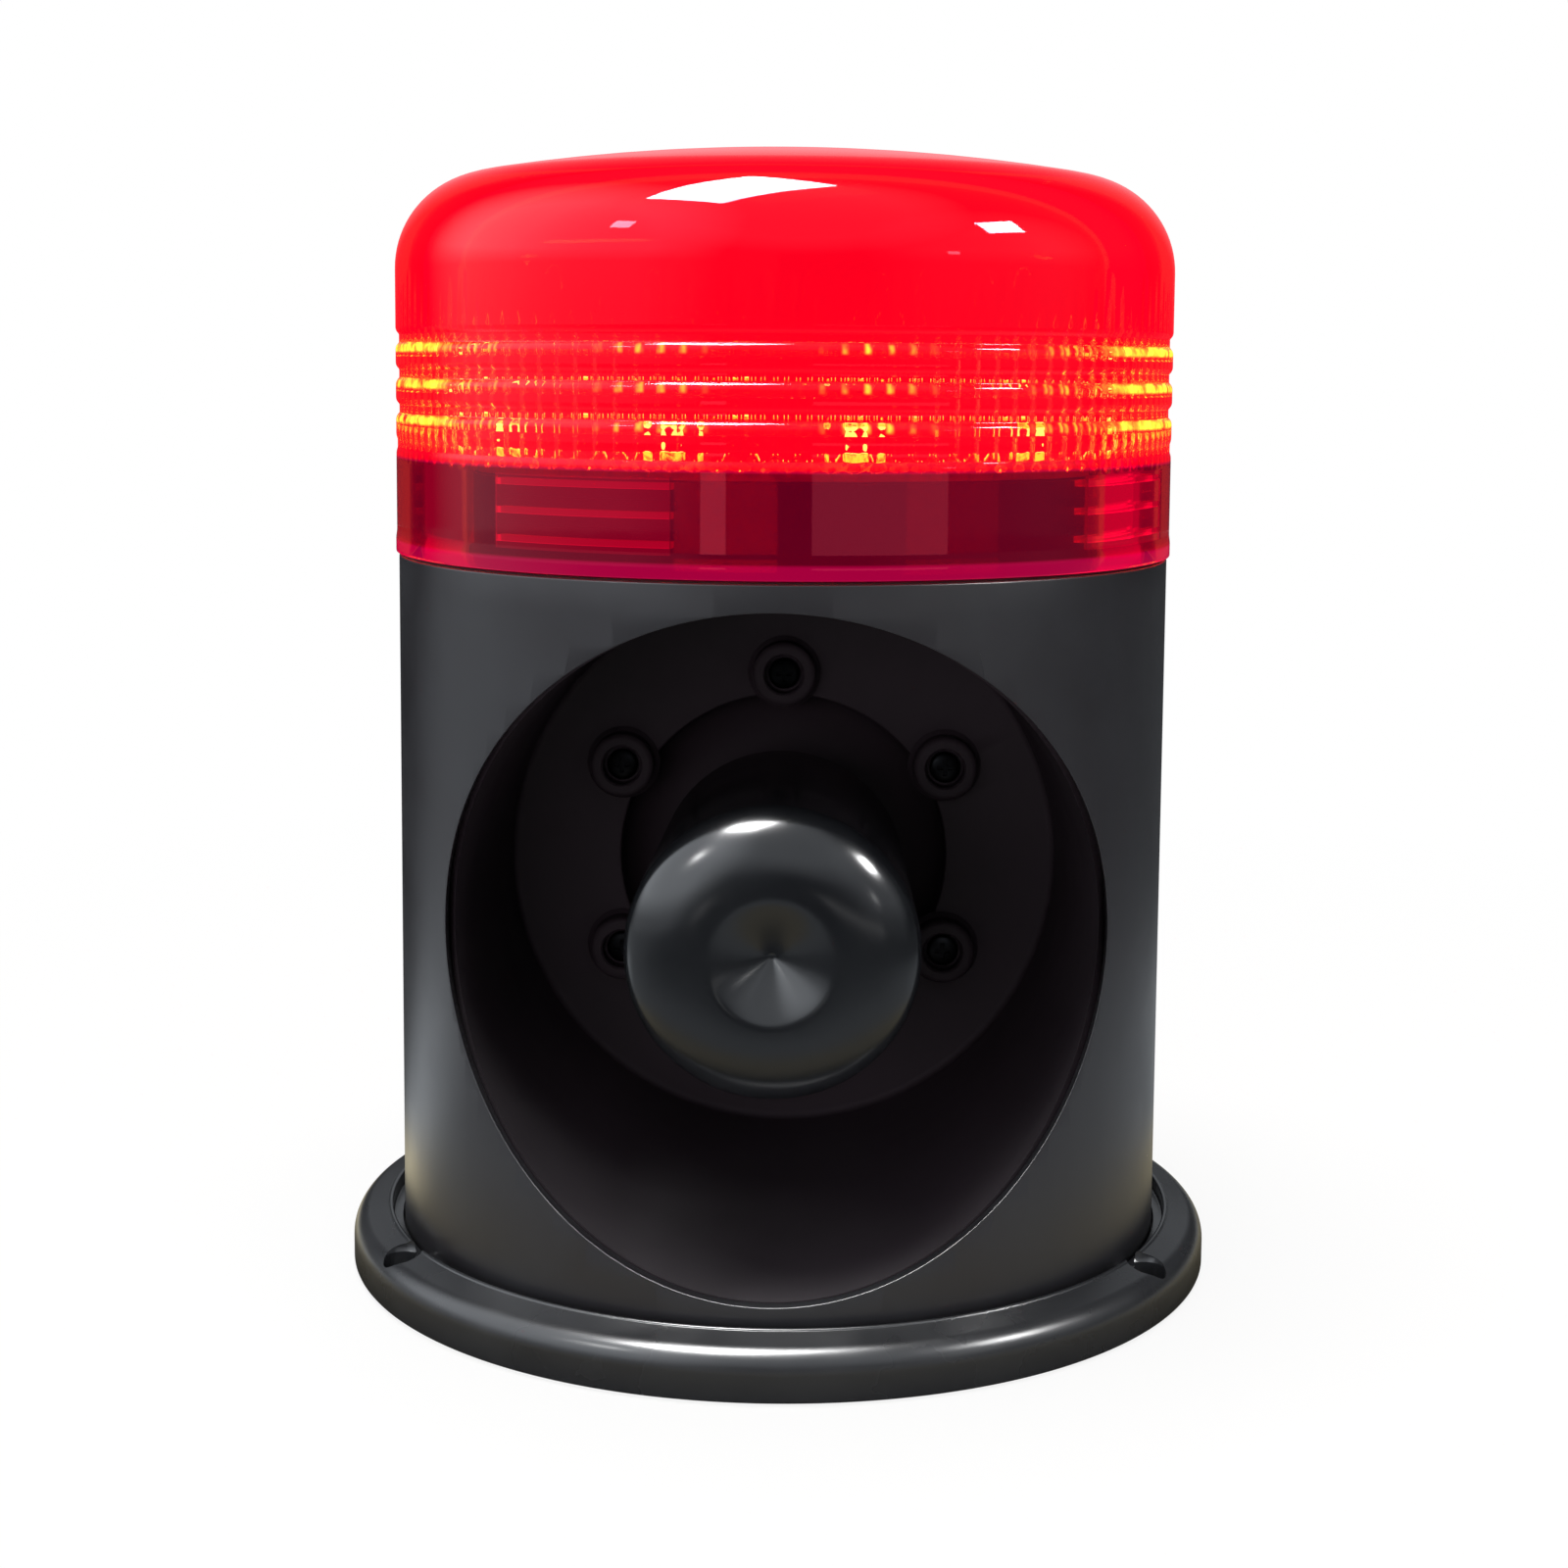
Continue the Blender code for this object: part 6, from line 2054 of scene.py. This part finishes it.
    def mat(self) -> None:
        """Adds the mat on the floor that the reflections see: pale to the left, dark in front and behind, with
        a painted contact shadow round the object's foot.
        """
        sizes = {"vertices": self.screen_corners, "radius": self.screen_radius, "fill_type": "NGON"}
        card = primitive(bpy.ops.mesh.primitive_circle_add, "floor_mat", **sizes)
        card.data.transform(Matrix.Translation((0.0, 0.0, -self.floor_drop / 2)))
        self.reflect_only(card, self.mat_light, self.mat_colour)

    def mat_light(self, tree: Tree) -> Socket:
        """The mat's brightness.

        Args:
            tree: the node tree.

        Returns:
            The brightness.
        """
        near_least, far_least = self.lit_least
        near, far = self.near_lit.light(tree, near_least), self.far_lit.light(tree, far_least)
        level = add_node(tree, "Mix", {0: away(tree, self.near_ends), 2: near, 3: far}).outputs[0]
        front = {0: away(tree, self.front_ends), 2: 1.0, 3: self.dark_front.light(tree, 1.0)}
        shades = [
            self.dark_back.light(tree, 1.0),
            add_node(tree, "Mix", front).outputs[0],
            # Painted contact shadow: the mat goes dark close round the object's foot.
            away(tree, self.painted_contact_shadow_ends),
        ]
        for shade in shades:
            level = add_node(tree, "Math", {0: level, 1: shade}, operation="MULTIPLY").outputs[0]
        return level

    def mat_colour(self, tree: Tree) -> Socket:
        """The mat's colour, warm beside the object and cool farther out."""
        hues = {0: away(tree, self.warm_ends), 6: linear(self.warm_colour), 7: linear(self.cool_colour)}
        return add_node(tree, "Mix", hues, data_type="RGBA").outputs[2]

    def floor(self) -> None:
        """Adds the floor: white to the eye, with the object's soft shadow."""
        sizes = {"size": self.floor_size, "location": (0.0, 0.0, -self.floor_drop)}
        floor = primitive(bpy.ops.mesh.primitive_plane_add, "studio_floor", **sizes)
        made = bpy.data.materials.new("floor_white")
        tree = bare_tree(made)
        white = away(tree, self.shadow_reach, (1.0 - self.shadow_share, 1.0))
        paint = add_node(tree, "BsdfDiffuse", {"Color": linear(self.floor_colour)}).outputs[0]
        glow = add_node(tree, "Emission").outputs[0]
        share = add_node(tree, "Math", {0: white, 1: seen(tree)}, operation="MULTIPLY").outputs[0]
        mixed = {0: share, 1: paint, 2: glow}
        add_node(tree, "OutputMaterial", {"Surface": add_node(tree, "MixShader", mixed).outputs[0]})
        floor.data.materials.append(made)

    def room(self) -> None:
        """Makes the room white to the eye, and a softer light on the object."""
        world = bpy.data.worlds.new("white_room")
        tree = bare_tree(world)
        level = {"Value": seen(tree), "To Min": self.room_level, "To Max": 1.0}
        strength = add_node(tree, "MapRange", level).outputs[0]
        white = add_node(tree, "Background", {"Color": linear(WHITE), "Strength": strength})
        add_node(tree, "OutputWorld", {"Surface": white.outputs[0]})
        bpy.context.scene.world = world


def main() -> None:
    """Builds the siren's sub-assemblies in order, then the studio."""
    logging.basicConfig(level=logging.INFO, format="%(name)s %(message)s")
    thread = ThreadSectors()
    sub_assemblies = [
        BaseFlange(),
        HousingShell(thread),
        CableGrommet(),
        HornBell(),
        HornThroat(),
        HornBulb(),
        HiddenWorks(),
        LampRing(),
        BeaconLens(thread),
        Screws(),
        Studio(),
    ]
    for sub_assembly in sub_assemblies:
        LOG.info("building %s", type(sub_assembly).__name__)
        sub_assembly.build()


if __name__ == "__main__":
    main()
